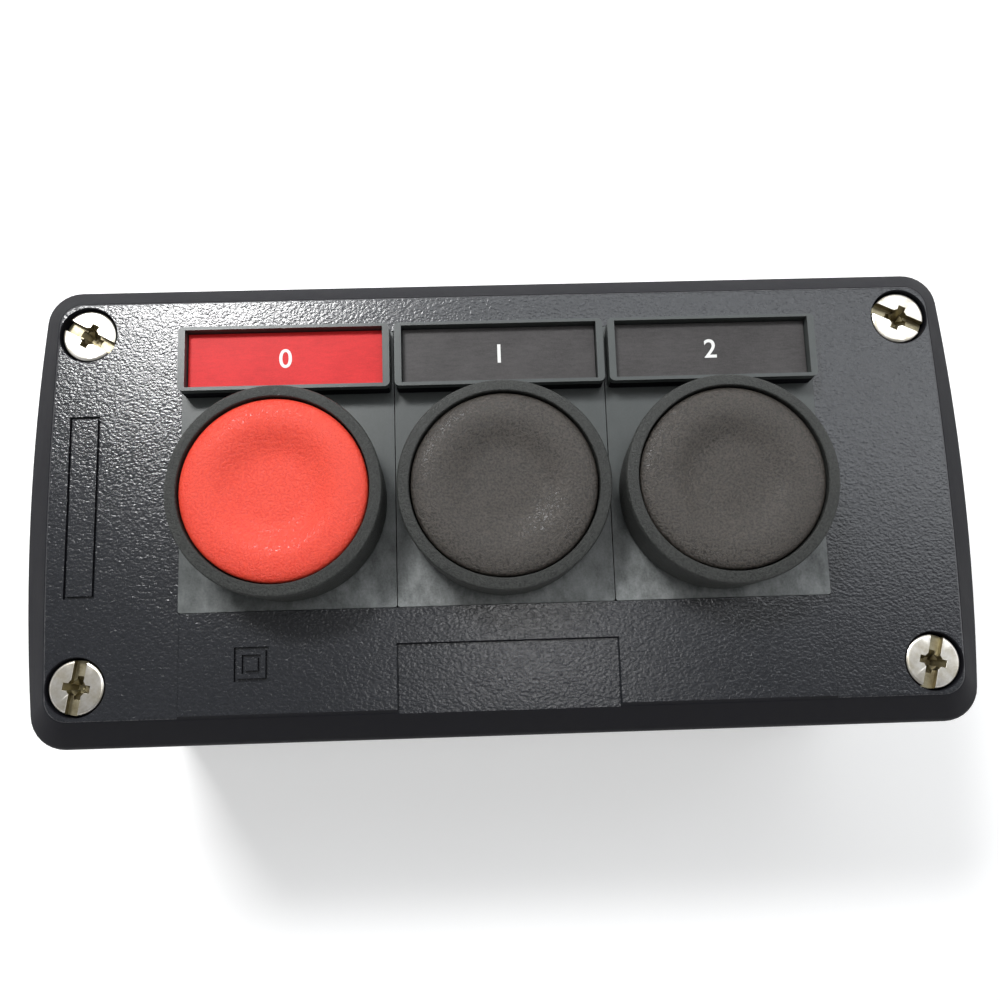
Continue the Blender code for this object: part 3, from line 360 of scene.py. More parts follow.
finishes = {
    "cover_plastic": makeGrain(),
    # The flank is the same plastic moulded smooth, with its colour painted darker than the plastic's own as
    # painted shade; the skirt keeps about the plastic's own tone.
    "flank": makeMoulded(
        "coverFlankPaintedShade", (0.007, 0.007, 0.009), (0.014, 0.014, 0.018), 0.56, 0.4 * mm, 0.02 * mm, 0.08
    ),
    "skirt": makeMoulded(
        "coverSkirt", (0.014, 0.0145, 0.017), (0.026, 0.027, 0.031), 0.52, 0.4 * mm, 0.02 * mm
    ),
    "base_plastic": makeMoulded(
        "basePlastic", (0.38, 0.39, 0.39), (0.44, 0.45, 0.45), 0.5, 0.35 * mm, 0.03 * mm
    ),
    "seal_rubber": makeBlasted("sealRubber", (0.016, 0.016, 0.017), (0.03, 0.03, 0.03), 0.75),
    "screw_nickel": makeMetal("screwNickel", (0.93, 0.9, 0.84), (0.62, 0.57, 0.46), 0.2, 0.35),
    # The slot and recess metals are the screw's nickel painted darker in its hollows, as painted shade.
    "screw_slot": makeMetal("screwSlotShaded", (0.42, 0.38, 0.27), (0.2, 0.17, 0.1), 0.34, 0.35),
    "screw_recess": makeMetal("screwRecessShaded", (0.36, 0.32, 0.2), (0.16, 0.13, 0.08), 0.35),
    "holder_plastic": makeScuffed(
        "holderPlastic", (0.038, 0.044, 0.043), (0.1, 0.11, 0.108), (0.42, 0.44, 0.44), 0.38
    ),
    "bezel_plastic": makeBlasted("bezelPlastic", (0.01, 0.011, 0.0105), (0.052, 0.055, 0.051), 0.56),
    "legend_red": makeLaminate("legendRed", (0.56, 0.011, 0.013), (0.78, 0.028, 0.03)),
    "legend_black": makeLaminate("legendBlack", (0.046, 0.043, 0.043), (0.09, 0.085, 0.085)),
    "cap_red": makeBlasted("capRed", (0.8, 0.038, 0.02), (0.98, 0.088, 0.044), 0.41, 0.5),
    "cap_black": makeBlasted("capBlack", (0.006, 0.005, 0.004), (0.083, 0.071, 0.06), 0.39, 0.48),
    "pusher_plastic": makeMoulded("pusherPlastic", (0.62, 0.62, 0.58), (0.72, 0.72, 0.68), 0.42),
    "nut_plastic": makeMoulded("nutPlastic", (0.05, 0.05, 0.06), (0.08, 0.08, 0.09), 0.45),
    "spring_steel": makeMetal("springSteel", (0.6, 0.6, 0.61), (0.42, 0.42, 0.43), 0.28),
    "contact_housing": makeMoulded("contactHousing", (0.27, 0.28, 0.3), (0.33, 0.34, 0.36), 0.48),
    "contact_brass": makeMetal("contactBrass", (0.8, 0.6, 0.3), (0.6, 0.42, 0.18), 0.25),
    "terminal_steel": makeMetal("terminalSteel", (0.7, 0.71, 0.72), (0.5, 0.5, 0.5), 0.3),
    "print": makeLaminate("legendPrint", (0.86, 0.86, 0.84), (0.93, 0.93, 0.92)),
}

slotOf = {entry["node"]: entry["material_slot"] for entry in frame["record"]["subparts"]}
bodyOf = {part: body for body, parts in frame["record"]["behaviour"]["bodies"].items() for part in parts}
for nodeName, node in nodes.items():
    node.data.materials.clear()
    node.data.materials.append(finishes[slotOf[nodeName]])
print("finishes made:", len(finishes))


# modelling steps
def startPiece(kind, name, **settings):
    bpy.ops.object.select_all(action="DESELECT")
    getattr(bpy.ops.mesh, f"primitive_{kind}_add")(**settings)
    piece = bpy.context.object
    piece.name = name
    piece.data.name = name
    return piece


def startBlock(name, low, high):
    size = [top - bottom for bottom, top in zip(low, high)]
    middle = [(top + bottom) / 2 for bottom, top in zip(low, high)]
    piece = startPiece("cube", name, size=1, location=middle, scale=size)
    bpy.ops.object.transform_apply(location=True, rotation=True, scale=True)
    return piece


def focus(piece):
    bpy.ops.object.select_all(action="DESELECT")
    piece.select_set(True)
    bpy.context.view_layer.objects.active = piece


def edit(piece, kind="FACE"):
    focus(piece)
    bpy.ops.object.mode_set(mode="EDIT")
    bpy.ops.mesh.select_mode(type=kind)
    bpy.ops.mesh.select_all(action="DESELECT")


def leave():
    bpy.ops.object.mode_set(mode="OBJECT")


# Selects, in edit mode, the corners, edges or faces that a test on their middle and direction picks.
def pick(piece, test, kind="FACE"):
    bpy.ops.mesh.select_mode(type=kind)
    bpy.ops.mesh.select_all(action="DESELECT")
    form = bmesh.from_edit_mesh(piece.data)
    if kind == "FACE":
        for item in form.faces:
            item.select_set(test(item.calc_center_median(), item.normal))
    elif kind == "EDGE":
        for item in form.edges:
            ends = [corner.co for corner in item.verts]
            item.select_set(test((ends[0] + ends[1]) / 2, (ends[1] - ends[0]).normalized()))
    else:
        for item in form.verts:
            item.select_set(test(item.co, item.normal))
    form.select_flush_mode()
    bmesh.update_edit_mesh(piece.data)


def tidyNormals(piece):
    edit(piece)
    bpy.ops.mesh.select_all(action="SELECT")
    bpy.ops.mesh.remove_doubles(threshold=1e-6)
    bpy.ops.mesh.normals_make_consistent(inside=False)
    leave()


def applyModifier(piece, name):
    focus(piece)
    bpy.ops.object.modifier_apply(modifier=name)


def combine(piece, tool, operation="DIFFERENCE"):
    step = piece.modifiers.new(operation, "BOOLEAN")
    step.operation = operation
    step.object = tool
    step.solver = "EXACT"
    applyModifier(piece, step.name)
    bpy.data.objects.remove(tool, do_unlink=True)


def soften(piece, width, segments, angle):
    step = piece.modifiers.new("soften", "BEVEL")
    step.width = width
    step.segments = segments
    step.limit_method = "ANGLE"
    step.angle_limit = math.radians(angle)
    applyModifier(piece, step.name)


# Rounds are shaded smooth and flats stay flat.
def smooth(piece, angle=32):
    focus(piece)
    bpy.ops.object.shade_smooth_by_angle(angle=math.radians(angle))
    weigh = piece.modifiers.new("weigh", "WEIGHTED_NORMAL")
    weigh.keep_sharp = True
    applyModifier(piece, weigh.name)


def settle(piece, place=(0, 0, 0), turn=0.0):
    piece.location = place
    piece.rotation_euler = (0, 0, turn)
    focus(piece)
    bpy.ops.object.transform_apply(location=True, rotation=True, scale=True)


# A profile of radius and height, drawn point by point and spun round Z. A ring's profile closes on itself.
def turnPiece(name, profile, steps=96, ring=True, centre=(0, 0)):
    piece = startPiece("plane", name, size=1 * mm)
    edit(piece, "VERT")
    bpy.ops.mesh.select_all(action="SELECT")
    bpy.ops.mesh.merge(type="CENTER")
    bpy.ops.mesh.select_all(action="SELECT")
    last = (0, 0)
    for i, point in enumerate(profile + profile[:1] if ring else profile):
        move = (point[0] - last[0], 0, point[1] - last[1])
        if i == 0:
            bpy.ops.transform.translate(value=move)
        else:
            bpy.ops.mesh.extrude_vertices_move(TRANSFORM_OT_translate={"value": move})
        last = point
    bpy.ops.mesh.select_all(action="SELECT")
    bpy.ops.mesh.spin(steps=steps, angle=2 * math.pi, center=(0, 0, 0), axis=(0, 0, 1))
    leave()
    tidyNormals(piece)
    settle(piece, (*centre, 0))
    return piece


# Rounds the upright edges of a block.
def roundUprights(piece, radius):
    edit(piece, "EDGE")
    pick(piece, lambda middle, along: abs(along.z) > 0.9, "EDGE")
    bpy.ops.mesh.bevel(offset=radius, segments=4, affect="EDGES")
    leave()


# A block whose underside is scaled in X and Y about a centre, so that its walls lean.
def leanBlock(name, low, high, shares, centre):
    block = startBlock(name, low, high)
    edit(block)
    pick(block, lambda middle, normal: normal.z < -0.5)
    bpy.ops.transform.resize(value=(*shares, 1), center_override=centre)
    leave()
    return block


# The quarter of an outline with arched ends and round corners, from the +X end to the +Y side.
def archedQuarter(halfLength, halfWidth, bow, radius, endSteps=8, cornerSteps=8):
    arch = (halfWidth**2 + bow**2) / (2 * bow)
    archX = halfLength - arch
    cornerY = halfWidth - radius
    cornerX = archX + math.sqrt((arch - radius) ** 2 - cornerY**2)
    meet = math.atan2(cornerY, cornerX - archX)
    points = []
    for i in range(endSteps):
        angle = meet * i / endSteps
        points.append((archX + arch * math.cos(angle), arch * math.sin(angle)))
    for i in range(cornerSteps + 1):
        angle = meet + (math.pi / 2 - meet) * i / cornerSteps
        points.append((cornerX + radius * math.cos(angle), cornerY + radius * math.sin(angle)))
    return points + [(0, halfWidth)]


# A disc is raised level by level, and each level's rows of mirrored corners are scaled to its outline.
def raisePiece(name, levels):
    first = levels[0][1]
    count = len(first) - 1
    piece = startPiece("circle", name, vertices=4 * count, radius=1, fill_type="NGON", location=(0, 0, 0))
    turns = [math.pi / 2 * i / count for i in range(count + 1)]
    quarter = [(math.cos(turn), math.sin(turn)) for turn in turns]
    edit(piece)
    height = 0.0
    for i, (level, outline) in enumerate(levels):
        pick(piece, lambda middle, normal: abs(middle.z - height) < 1e-7)
        if i == 0:
            bpy.ops.transform.translate(value=(0, 0, level))
        else:
            bpy.ops.mesh.extrude_region_move(TRANSFORM_OT_translate={"value": (0, 0, level - height)})
        height = level
        for (oldX, oldY), (newX, newY) in zip(quarter, outline):
            pick(
                piece,
                lambda place, _: abs(place.z - height) < 1e-7
                and abs(abs(place.x) - oldX) < 1e-7
                and abs(abs(place.y) - oldY) < 1e-7,
                "VERT",
            )
            scale = (newX / oldX if oldX > 1e-9 else 1, newY / oldY if oldY > 1e-9 else 1, 1)
            bpy.ops.transform.resize(value=scale, center_override=(0, 0, height))
        quarter = outline
    leave()
    tidyNormals(piece)
    return piece


def finishPiece(piece, slot, body, *replaced):
    if not piece.data.materials:
        piece.data.materials.append(finishes[slot])
    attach(piece, body)
    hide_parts(*replaced)


# cover: its outline at the joint and the rim, and its front face
box = {
    "length": 136 * mm, "width": 68 * mm, "joint": 31 * mm, "flankHeight": 3.8 * mm,
    "rimInsetX": 0.2 * mm, "rimInsetY": 0.6 * mm, "faceLength": 126.4 * mm, "faceWidth": 59.2 * mm,
    "endBow": 1.8 * mm, "faceBow": 0.7 * mm, "corner": 5 * mm, "faceCorner": 3.2 * mm,
    "rimRound": 0.7 * mm, "faceRound": 0.3 * mm,
}
rim = face - box["flankHeight"]


def boxQuarter(inset):
    radius = max(box["corner"] - inset, 1 * mm)
    return archedQuarter(box["length"] / 2 - inset, box["width"] / 2 - inset, box["endBow"], radius)


def flankQuarter(share):
    mix = lambda low, high: low * (1 - share) + high * share
    return archedQuarter(
        mix(box["length"] / 2 - box["rimInsetX"], box["faceLength"] / 2),
        mix(box["width"] / 2 - box["rimInsetY"], box["faceWidth"] / 2),
        mix(box["endBow"], box["faceBow"]),
        mix(box["corner"], box["faceCorner"]),
    )


def makeShell():
    levels = [(box["joint"], boxQuarter(0)), (rim, flankQuarter(0)), (face, flankQuarter(1))]
    shell = raisePiece("coverShell", levels)
    edit(shell, "EDGE")
    for level, width, segments in ((rim, box["rimRound"], 3), (face, box["faceRound"], 2)):
        pick(shell, lambda middle, along: abs(along.z) < 0.1 and abs(middle.z - level) < 0.1 * mm, "EDGE")
        bpy.ops.mesh.bevel(offset=width, segments=segments, affect="EDGES")
    leave()
    return shell


# The seal's mouth and channel, and the room behind the front wall: heights and insets in mm.
rooms = {
    "mouth": ((30, 2.2), (33.5, 2.2)),
    "channel": ((32.5, 2.2), (37, 2.2)),
    "rib": ((30, 4.8), (40, 4.8)),
    "throat": ((32, 6.4), (40.5, 6.4)),
    "room": ((39.5, 2.7), (48, 3.1), (49.2, 4.5)),
}


def roomTool(name):
    return raisePiece(name, [(height * mm, boxQuarter(inset * mm)) for height, inset in rooms[name]])


def hollowCover(cover):
    combine(cover, roomTool("mouth"))
    channel = roomTool("channel")
    combine(channel, roomTool("rib"))
    combine(cover, channel)
    combine(cover, roomTool("throat"))
    combine(cover, roomTool("room"))


screws = {
    "places": [(-58.5 * mm, 25 * mm), (58.5 * mm, 25 * mm), (-58.5 * mm, -25 * mm), (58.5 * mm, -25 * mm)],
    "turns": (-30, -26, 81, 75),  # of their slots, in degrees
    "counterbore": 4.05 * mm, "seat": 48.1 * mm, "chamfer": 0.1 * mm, "hole": 2.05 * mm, "holeEnd": 32 * mm,
    "postWide": 6.2 * mm, "postNarrow": 3.4 * mm, "postEnd": 33.3 * mm, "postAbove": 1.6 * mm,
    "postStep": 2.4 * mm,
}


def addPosts(cover):
    seat, step, end = screws["seat"], screws["postStep"], screws["postEnd"]
    wide, narrow, top = screws["postWide"], screws["postNarrow"], seat + screws["postAbove"]
    profile = [(0, top), (wide, top), (wide, seat - step), (narrow, seat - 2 * step), (narrow, end), (0, end)]
    for centre in screws["places"]:
        combine(cover, turnPiece("post", profile, 48, False, centre), "UNION")


# Each hole is turned a little, so that none of its corners meets an edge of the cover.
def drillScrewHoles(cover):
    bore, seat, hole, end = screws["counterbore"], screws["seat"], screws["hole"], screws["holeEnd"]
    chamfer, above = screws["chamfer"], 2 * mm
    profile = [
        (0, face + above), (bore + above + chamfer, face + above), (bore + chamfer, face),
        (bore, face - chamfer), (bore, seat), (hole, seat), (hole, end), (0, end),
    ]
    for centre in screws["places"]:
        tool = turnPiece("screwHole", profile, 64, False)
        settle(tool, (*centre, 0), 0.03)
        combine(cover, tool)


# Raised lower panels that run down over the flank, and the sunk cell between them.
panels = {
    "half": 44.8 * mm, "low": -28.4 * mm, "high": -15.3 * mm, "rise": 0.4 * mm, "draft": 0.25 * mm,
    "tail": 0.85 * mm, "tailDrop": 1.1 * mm, "cellHalf": 15.3 * mm, "cellLow": -36 * mm,
    "cellHigh": -20.2 * mm, "cellSink": 0.6 * mm, "cellSlope": 0.3 * mm,
}
panelTop = face + panels["rise"]


def addPanels(cover):
    half, draft = panels["half"], panels["draft"]
    block = startBlock("panels", (-half, panels["low"], face), (half, panels["high"], panelTop))
    edit(block)
    pick(block, lambda middle, normal: normal.z > 0.5)
    bpy.ops.transform.resize(value=(1 - draft / half, 1, 1), center_override=(0, 0, panelTop))
    pick(block, lambda middle, normal: normal.z < -0.5)
    bpy.ops.transform.translate(value=(0, 0, -mm))
    spread = draft * mm / panels["rise"]
    bpy.ops.transform.resize(value=(1 + spread / half, 1, 1), center_override=(0, 0, face))
    pick(block, lambda middle, normal: normal.y < -0.5)
    bpy.ops.mesh.extrude_region_move(TRANSFORM_OT_translate={"value": (0, -panels["tail"], 0)})
    pick(block, lambda middle, normal: normal.z < -0.5 and middle.y < panels["low"])
    bpy.ops.transform.translate(value=(0, -panels["tailDrop"], 0))
    leave()
    combine(cover, block, "UNION")
    half, low, high, slope = panels["cellHalf"], panels["cellLow"], panels["cellHigh"], panels["cellSlope"]
    floor = panelTop - panels["cellSink"]
    shares = (1 - slope / half, 1 - 2 * slope / (high - low))
    centre = (0, (low + high) / 2, panelTop)
    combine(cover, leanBlock("cell", (-half, low, floor), (half, high, panelTop + slope), shares, centre))


# The round hole for a head's barrel and the notch for its key, which the cover and the holders share.
headHole = {"radius": 11.35 * mm, "keyHalf": 1.3 * mm, "keyInner": 10 * mm, "keyOuter": 12.75 * mm}


def headDrill(centre, low, high):
    middle = (*centre, (low + high) / 2)
    radius, depth = headHole["radius"], high - low
    drill = startPiece("cylinder", "headDrill", vertices=96, radius=radius, depth=depth, location=middle)
    settle(drill, middle)
    return drill


def keyCutter(centre, low, high):
    x, y = centre
    half, inner, outer = headHole["keyHalf"], headHole["keyInner"], headHole["keyOuter"]
    return startBlock("keyCutter", (x - half, y + inner, low), (x + half, y + outer, high))


pocket = {"half": 45 * mm, "low": -15.45 * mm, "high": 24.6 * mm, "depth": 1.5 * mm, "corner": 0.4 * mm}


def cutPocket(cover):
    half, floor = pocket["half"], face - pocket["depth"]
    block = startBlock("pocket", (-half, pocket["low"], floor), (half, pocket["high"], face + 3 * mm))
    roundUprights(block, pocket["corner"])
    combine(cover, block)
    for x in stationPlaces.values():
        combine(cover, headDrill((x, headLine), 46 * mm, 54 * mm))
        combine(cover, keyCutter((x, headLine), 48 * mm, 54 * mm))


# A tall frame at the left, and two squares, one in the other, on the left panel.
marks = {
    "frameLow": (-60.6 * mm, -13.0 * mm), "frameHigh": (-56.3 * mm, 12.9 * mm), "frameLine": 0.42 * mm,
    "squareCentre": (-34.8 * mm, -22.55 * mm), "squareSides": (4.7 * mm, 2.6 * mm), "squareLine": 0.46 * mm,
    "depth": 0.4 * mm, "lean": 0.18,
}


# The cutter of a rectangular groove, whose walls lean towards its floor.
def grooveCutter(low, high, line, level):
    bottom, top = level - marks["depth"], level + 0.1 * mm
    lean = line * marks["lean"]
    ring = []
    for word, inset, sign, extra in (("outer", 0, 1, 0), ("inner", line, -1, 0.1 * mm)):
        near = [edge + inset for edge in low]
        far = [edge - inset for edge in high]
        shares = [1 - 2 * sign * lean / (end - start) for start, end in zip(near, far)]
        centre = [(start + end) / 2 for start, end in zip(near, far)]
        floor = bottom - extra
        ring.append(leanBlock(word, (*near, floor), (*far, top + extra), shares, (*centre, floor)))
    combine(*ring)
    return ring[0]


def cutMarks(cover):
    combine(cover, grooveCutter(marks["frameLow"], marks["frameHigh"], marks["frameLine"], face))
    for side in marks["squareSides"]:
        low = [value - side / 2 for value in marks["squareCentre"]]
        high = [value + side / 2 for value in marks["squareCentre"]]
        combine(cover, grooveCutter(low, high, marks["squareLine"], panelTop))


# The face and the panels' banks are grained, the uprights are the skirt and the rest is the flank, whose
# darker colour is painted shade.
def finishCover(cover):
    smooth(cover)
    for finish in ("cover_plastic", "flank", "skirt"):
        cover.data.materials.append(finishes[finish])
    for polygon in cover.data.polygons:
        normal, middle = polygon.normal, polygon.center
        bank = abs(normal.x) > 0.5 and normal.z > 0.3 and middle.z > face
        grained = bank or normal.z > 0.95 and middle.z > face - 0.4 * mm
        upright = abs(normal.z) < 0.2 and middle.z < rim
        polygon.material_index = 0 if grained else 2 if upright else 1
    finishPiece(cover, "cover_plastic", "box", "cover")
    print("cover:", len(cover.data.polygons), "faces")


def makeCover():
    cover = makeShell()
    for step in (hollowCover, addPosts, addPanels, cutPocket, drillScrewHoles, cutMarks, finishCover):
        step(cover)


makeCover()


# cover screws: a slot with a cross in it
screwHead = {
    "radius": 3.75 * mm, "height": 4.3 * mm, "sink": 0.3 * mm, "shank": 1.75 * mm, "length": 28 * mm,
    "brim": ((0.4, 0), (0.22, 0.03), (0.07, 0.13), (0, 0.34)),  # inwards and down, in mm
    "tip": 0.4 * mm, "slot": 1.7 * mm, "slotDepth": 0.95 * mm, "edge": 0.05 * mm,
    "crossReach": 2.1 * mm, "crossWidth": 1.15 * mm, "crossDepth": 2.4 * mm, "crossTaper": (0.6, 0.35),
    "hubTop": 1.35 * mm, "hubLow": 1.2 * mm, "hubDepth": 1.2 * mm, "hubPoint": 2.6 * mm,
}


# The cutters of a screw's slot, of the cross's two arms and of the hollow where they meet, which give those
# hollows darker metal as painted shade.
def screwCutters(top):
    half = screwHead["slot"] / 2
    slot = startBlock("slot", (-6 * mm, -half, top - screwHead["slotDepth"]), (6 * mm, half, mm))
    for finish in ("screw_slot", "screw_recess"):
        slot.data.materials.append(finishes[finish])
    for polygon in slot.data.polygons:
        polygon.material_index = 0 if polygon.normal.z < -0.5 else 1
    reach, half, taper = screwHead["crossReach"], screwHead["crossWidth"] / 2, screwHead["crossTaper"]
    low, centre = top - screwHead["crossDepth"], (0, 0, top)
    upright = leanBlock("upright", (-half, -reach, low), (half, reach, top + 0.5 * mm), taper, centre)
    level = leanBlock("level", (-reach, -half, low), (reach, half, top - 0.2 * mm), taper[::-1], centre)
    hubProfile = [
        (0, top + mm), (screwHead["hubTop"], top + mm), (screwHead["hubLow"], top - screwHead["hubDepth"]),
        (0, top - screwHead["hubPoint"]),
    ]
    hub = turnPiece("hub", hubProfile, 24, False)
    for tool in (upright, level, hub):
        tool.data.materials.append(finishes["screw_recess"])
    return slot, upright, level, hub


def makeScrews():
    top, radius, shank = -screwHead["sink"], screwHead["radius"], screwHead["shank"]
    under = top - screwHead["height"]
    end = under - screwHead["length"]
    brim = [(radius - inwards * mm, top - down * mm) for inwards, down in screwHead["brim"]]
    tail = [(radius, under), (shank, under), (shank, end + shank), (screwHead["tip"], end), (0, end)]
    model = turnPiece("coverScrew", [(0, top), *brim, *tail], 64, False)
    for finish in ("screw_nickel", "screw_recess", "screw_slot"):
        model.data.materials.append(finishes[finish])
    for tool in screwCutters(top):
        combine(model, tool)
    soften(model, screwHead["edge"], 1, 40)
    for i, centre in enumerate(screws["places"]):
        piece = model.copy()
        piece.data = model.data.copy()
        piece.name = f"coverScrew{i + 1}"
        bpy.context.scene.collection.objects.link(piece)
        settle(piece, (*centre, face), math.radians(screws["turns"][i]))
        smooth(piece)
        finishPiece(piece, "screw_nickel", "box", f"cover_screw_{i + 1}")
    bpy.data.objects.remove(model, do_unlink=True)
    print("cover screws made")


makeScrews()


# A finished model is copied to each station, and each copy has its own mesh.
def toStations(model, word, slotNames, bodies, *replaced):
    for station, x in stationPlaces.items():
        piece = model.copy()
        piece.data = model.data.copy()
        piece.name = piece.data.name = f"{word}_{station}"
        bpy.context.scene.collection.objects.link(piece)
        settle(piece, (x, headLine, 0))
        slot = slotNames[station] if isinstance(slotNames, dict) else slotNames
        finishPiece(piece, slot, bodies.format(station), *[name.format(station) for name in replaced])
    bpy.data.objects.remove(model, do_unlink=True)


# legend holders and inserts
holder = {
    "half": 14.94 * mm, "up": 24.9 * mm, "down": 14.95 * mm, "bottom": -1.2 * mm, "top": 0.1 * mm,
    "frameDepth": 9.3 * mm, "frameTop": 2.95 * mm, "frameHalf": 14.66 * mm, "frameBack": 0.05 * mm,
    "side": 1.35 * mm, "lip": 0.6 * mm, "gap": 0.1 * mm, "insertTop": 1.8 * mm, "insertThick": 0.5 * mm,
    "insertEdge": 0.1 * mm, "corner": 0.7 * mm, "plateCorner": 0.35 * mm, "edge": 0.14 * mm,
    "rimThick": 1.1 * mm, "undercut": 0.2 * mm,
}
frameMiddle = holder["up"] - holder["frameDepth"] / 2


def makeHolders():
    half, up, down = holder["half"], holder["up"], holder["down"]
    front, wide = up - holder["frameDepth"], holder["frameHalf"]
    plateTop, frameTop = face + holder["top"], face + holder["frameTop"]
    plate = startBlock("legendHolder", (-half, -down, face + holder["bottom"]), (half, up, plateTop))
    roundUprights(plate, holder["plateCorner"])
    raised = startBlock(
        "raisedFrame", (-wide, front, face - 0.5 * mm), (wide, up - holder["frameBack"], frameTop)
    )
    roundUprights(raised, holder["corner"])
    combine(plate, raised, "UNION")
    # the recess that takes the insert, and the open core under it
    x = half - holder["side"] + holder["gap"]
    y = holder["frameDepth"] / 2 - holder["lip"] + holder["gap"]
    floor = face + (holder["insertTop"] - holder["insertThick"] - holder["gap"])
    low, high = frameMiddle - y, frameMiddle + y
    combine(plate, startBlock("recess", (-x, low, floor), (x, high, face + 5 * mm)))
    combine(plate, startBlock("core", (-x + mm, low + mm, face - 3 * mm), (x - mm, high - mm, floor - mm)))
    combine(plate, headDrill((0, 0), face - 3 * mm, face + 3 * mm))
    combine(plate, keyCutter((0, 0), face - 3 * mm, face + 0.5 * mm))
    # the frame's front edge stands over an undercut, whose cut walls take the dark flank finish as painted
    # shade
    undercutTop = frameTop - holder["rimThick"]
    shade = startBlock(
        "undercut", (-half - mm, front - mm, plateTop), (half + mm, front + holder["undercut"], undercutTop)
    )
    shade.data.materials.append(finishes["flank"])
    for finish in ("holder_plastic", "flank"):
        plate.data.materials.append(finishes[finish])
    combine(plate, shade)
    soften(plate, holder["edge"], 2, 40)
    smooth(plate)
    toStations(plate, "legendHolder", "holder_plastic", "box", "legend_holder_{}")
    print("legend holders made")


insertSlots = {"left": "legend_red", "middle": "legend_black", "right": "legend_black"}
legendPrint = {
    "numbers": {"left": "0", "middle": "1", "right": "2"},
    "height": 2.7 * mm, "heightShare": 0.7, "thick": 0.03 * mm, "bold": 0.04 * mm,
}


def makeInserts():
    x = holder["half"] - holder["side"]
    y = holder["frameDepth"] / 2 - holder["lip"]
    top = face + holder["insertTop"]
    low, high = (-x, frameMiddle - y, top - holder["insertThick"]), (x, frameMiddle + y, top)
    insert = startBlock("legendInsert", low, high)
    edit(insert, "EDGE")
    pick(insert, lambda middle, along: middle.z > top - 0.01 * mm, "EDGE")
    bpy.ops.mesh.bevel(offset=holder["insertEdge"], segments=2, affect="EDGES")
    leave()
    smooth(insert)
    toStations(insert, "legendInsert", insertSlots, "box", "legend_insert_{}")


# Printed numbers, each a thin raised piece on its insert.
def makeNumbers():
    thick = legendPrint["thick"]
    for station, x in stationPlaces.items():
        bpy.ops.object.select_all(action="DESELECT")
        bpy.ops.object.text_add()
        number = bpy.context.object
        number.data.body = legendPrint["numbers"][station]
        number.data.size = legendPrint["height"] / legendPrint["heightShare"]
        number.data.align_x = "CENTER"
        number.data.align_y = "CENTER"
        number.data.extrude = thick / 2
        number.data.offset = legendPrint["bold"]
        bpy.ops.object.convert(target="MESH")
        number = bpy.context.object
        number.name = number.data.name = f"legendNumber_{station}"
        settle(number, (x, headLine + frameMiddle, face + holder["insertTop"] + thick / 2))
        tidyNormals(number)
        number.data.materials.clear()
        number.data.materials.append(finishes["print"])
        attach(number, "box")
    print("legend inserts and numbers made")


makeHolders()
makeInserts()
makeNumbers()


# head bodies: bezel, barrel and key in one moulding
head = {
    "baseRadius": 13.85 * mm, "topRadius": 14.1 * mm, "height": 8.2 * mm, "rise": 0.3 * mm,
    "well": 12.47 * mm, "wellFloor": 2.6 * mm, "bottom": 0.4 * mm, "barrel": 11.05 * mm,
    "barrelInner": 9.3 * mm, "barrelBottom": -13 * mm, "floor": 1.5 * mm, "stemHole": 4.7 * mm,
    "sealOuter": 13.1 * mm, "sealInner": 11.9 * mm, "sealDepth": 1.2 * mm,
    "keyHalf": 1 * mm, "keyInner": 10.05 * mm, "keyOuter": 12.45 * mm, "keyBottom": -3.8 * mm,
}


def makeHeads():
    top, well, crest = head["height"], head["well"], head["height"] + head["rise"]
    outer, foot, bottom = head["topRadius"], head["baseRadius"], head["bottom"]
    base, inner, stem = head["barrelBottom"], head["barrelInner"], head["stemHole"]
    floor, seal = base + head["floor"], bottom + head["sealDepth"]
    profile = [
        (well, top + 0.18 * mm), (well + 0.1 * mm, crest), (well + 0.3 * mm, crest),
        (outer - 0.45 * mm, top + 0.12 * mm), (outer - 0.18 * mm, top + 0.02 * mm),
        (outer - 0.02 * mm, top - 0.22 * mm), (outer + 0.01 * mm, top - 0.5 * mm),
        (foot - 0.03 * mm, bottom + 0.25 * mm), (foot - 0.1 * mm, bottom),
        (head["sealOuter"], bottom), (head["sealOuter"], seal), (head["sealInner"], seal),
        (head["sealInner"], bottom), (head["barrel"], bottom), (head["barrel"], base), (stem, base),
        (stem, floor), (inner, floor), (inner, head["wellFloor"]), (well, head["wellFloor"]),
    ]
    model = turnPiece("headBody", [(radius, face + height) for radius, height in profile], 128)
    half = head["keyHalf"]
    low = (-half, head["keyInner"], face + head["keyBottom"])
    combine(model, startBlock("key", low, (half, head["keyOuter"], face + 0.1 * mm)), "UNION")
    smooth(model)
    toStations(model, "headBody", "bezel_plastic", "box", "head_body_{}")
    print("head bodies made")


# button caps: a rolled rim round a shallow dish, and a plug that the pusher takes
cap = {
    "radius": 12.25 * mm, "top": 8.8 * mm, "dish": 1.15 * mm, "flat": 4.2 * mm, "crest": 9.1 * mm,
    "edgeDrop": 1.05 * mm, "underside": 7.2 * mm, "plug": 3 * mm, "plugLength": 2.6 * mm,
    "dishSteps": 14, "rimSteps": 10,
}
capSlots = {"left": "cap_red", "middle": "cap_black", "right": "cap_black"}


def makeCaps():
    radius, top, crest, flat = cap["radius"], cap["top"], cap["crest"], cap["flat"]
    profile = []
    for i in range(cap["dishSteps"] + 1):
        place = crest * i / cap["dishSteps"]
        share = min(max((place - flat) / (crest - flat), 0), 1)
        profile.append((place, top - cap["dish"] * (1 + math.cos(math.pi * share)) / 2))
    for i in range(1, cap["rimSteps"] + 1):
        angle = math.pi / 2 * i / cap["rimSteps"]
        place = crest + (radius - crest) * math.sin(angle)
        profile.append((place, top - cap["edgeDrop"] * (1 - math.cos(angle))))
    plug, under = cap["plug"], cap["underside"]
    end = under - cap["plugLength"]
    profile += [(radius, under), (plug, under), (plug, end), (0, end)]
    model = turnPiece("buttonCap", [(place, face + height) for place, height in profile], 128, False)
    smooth(model, 40)
    toStations(model, "buttonCap", capSlots, "button_{}", "button_cap_{}")
    print("button caps made")


makeHeads()
makeCaps()
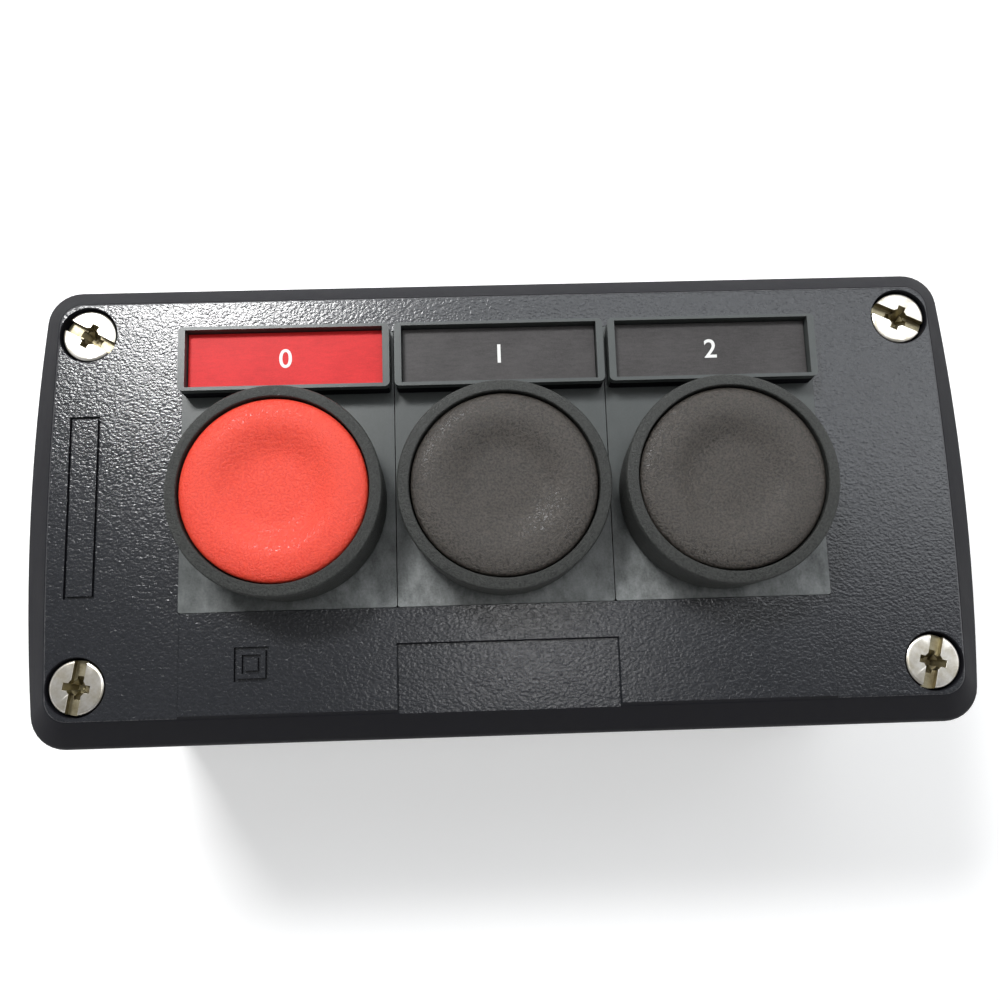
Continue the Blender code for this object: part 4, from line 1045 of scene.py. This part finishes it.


# springs, in mm: wire wound round each station's axis; each entry also gives its joint and its travel
springs = {
    "return_spring": {
        "radius": 6.4, "wire": 0.4, "bottom": 41.8, "top": 58.1, "turns": 5,
        "joint": "press_{}", "body": "box", "travel": 4.3,
    },
    "plunger_spring": {
        "radius": 1.9, "wire": 0.3, "bottom": 6.3, "top": 15.5, "turns": 5,
        "joint": "plunger_slide_{}", "body": "box", "travel": 4.3,
    },
    "contact_spring": {
        "radius": 1.3, "wire": 0.22, "bottom": 18.9, "top": 23.6, "turns": 4,
        "joint": "bridge_slide_{}", "body": "bridge_{}", "travel": 1.7,
    },
}
leftContactDrop = 1.3 * mm  # the left block opens its contact, so its spring sits lower and isn't squeezed


def makeCoil(name, radius, wire, bottom, top, turns):
    coil = startPiece(
        "circle", name, vertices=10, radius=wire * mm, fill_type="NOTHING",
        location=(radius * mm, 0, (bottom + wire) * mm), rotation=(math.pi / 2, 0, 0),
    )
    bpy.ops.object.transform_apply(location=True, rotation=True, scale=True)
    wind = coil.modifiers.new("wind", "SCREW")
    wind.angle = 2 * math.pi * turns
    wind.screw_offset = (top - bottom - 2 * wire) * mm
    wind.steps = wind.render_steps = 24 * turns
    applyModifier(coil, "wind")
    edit(coil, "EDGE")
    bpy.ops.mesh.select_all(action="SELECT")
    bpy.ops.mesh.region_to_loop()
    bpy.ops.mesh.fill()
    leave()
    tidyNormals(coil)
    smooth(coil, 50)
    return coil


def makeSprings():
    for word, values in springs.items():
        shape = [values[key] for key in ("radius", "wire", "bottom", "top", "turns")]
        for station, x in stationPlaces.items():
            lowered = word == "contact_spring" and station == "left"
            coil = makeCoil(f"{word}Wire_{station}", *shape)
            settle(coil, (x, headLine, -leftContactDrop if lowered else 0))
            finishPiece(coil, "spring_steel", values["body"].format(station), f"{word}_{station}")
            if not lowered:
                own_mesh(coil)
    print("springs wound")


makeSprings()

# the hidden pieces: each node's copy is merged, its edges are eased and its rounds made smooth
easedEdge = {
    "base": 0.12, "cover_gasket": 0.1, "head_seal": 0.12, "head_nut": 0.15, "pusher": 0.12,
    "contact_housing": 0.12, "contact_plunger": 0.1, "contact_bridge": 0.08, "terminal_bar_a": 0.08,
    "terminal_bar_b": 0.08, "terminal_screw_a": 0.08, "terminal_screw_b": 0.08,
}


def easeNodes():
    for name, node in nodes.items():
        word = next((key for key in easedEdge if name == key or name.startswith(key + "_")), None)
        if word is None:
            continue
        piece = bpy.data.objects.new(name + "_eased", node.data.copy())
        bpy.context.scene.collection.objects.link(piece)
        edit(piece)
        bpy.ops.mesh.select_all(action="SELECT")
        bpy.ops.mesh.remove_doubles(threshold=1e-6)
        bpy.ops.mesh.tris_convert_to_quads(face_threshold=math.radians(1), shape_threshold=math.pi)
        leave()
        soften(piece, easedEdge[word] * mm, 1, 50)
        smooth(piece, 35)
        finishPiece(piece, slotOf[name], bodyOf[name], name)
    print("hidden pieces eased")


easeNodes()
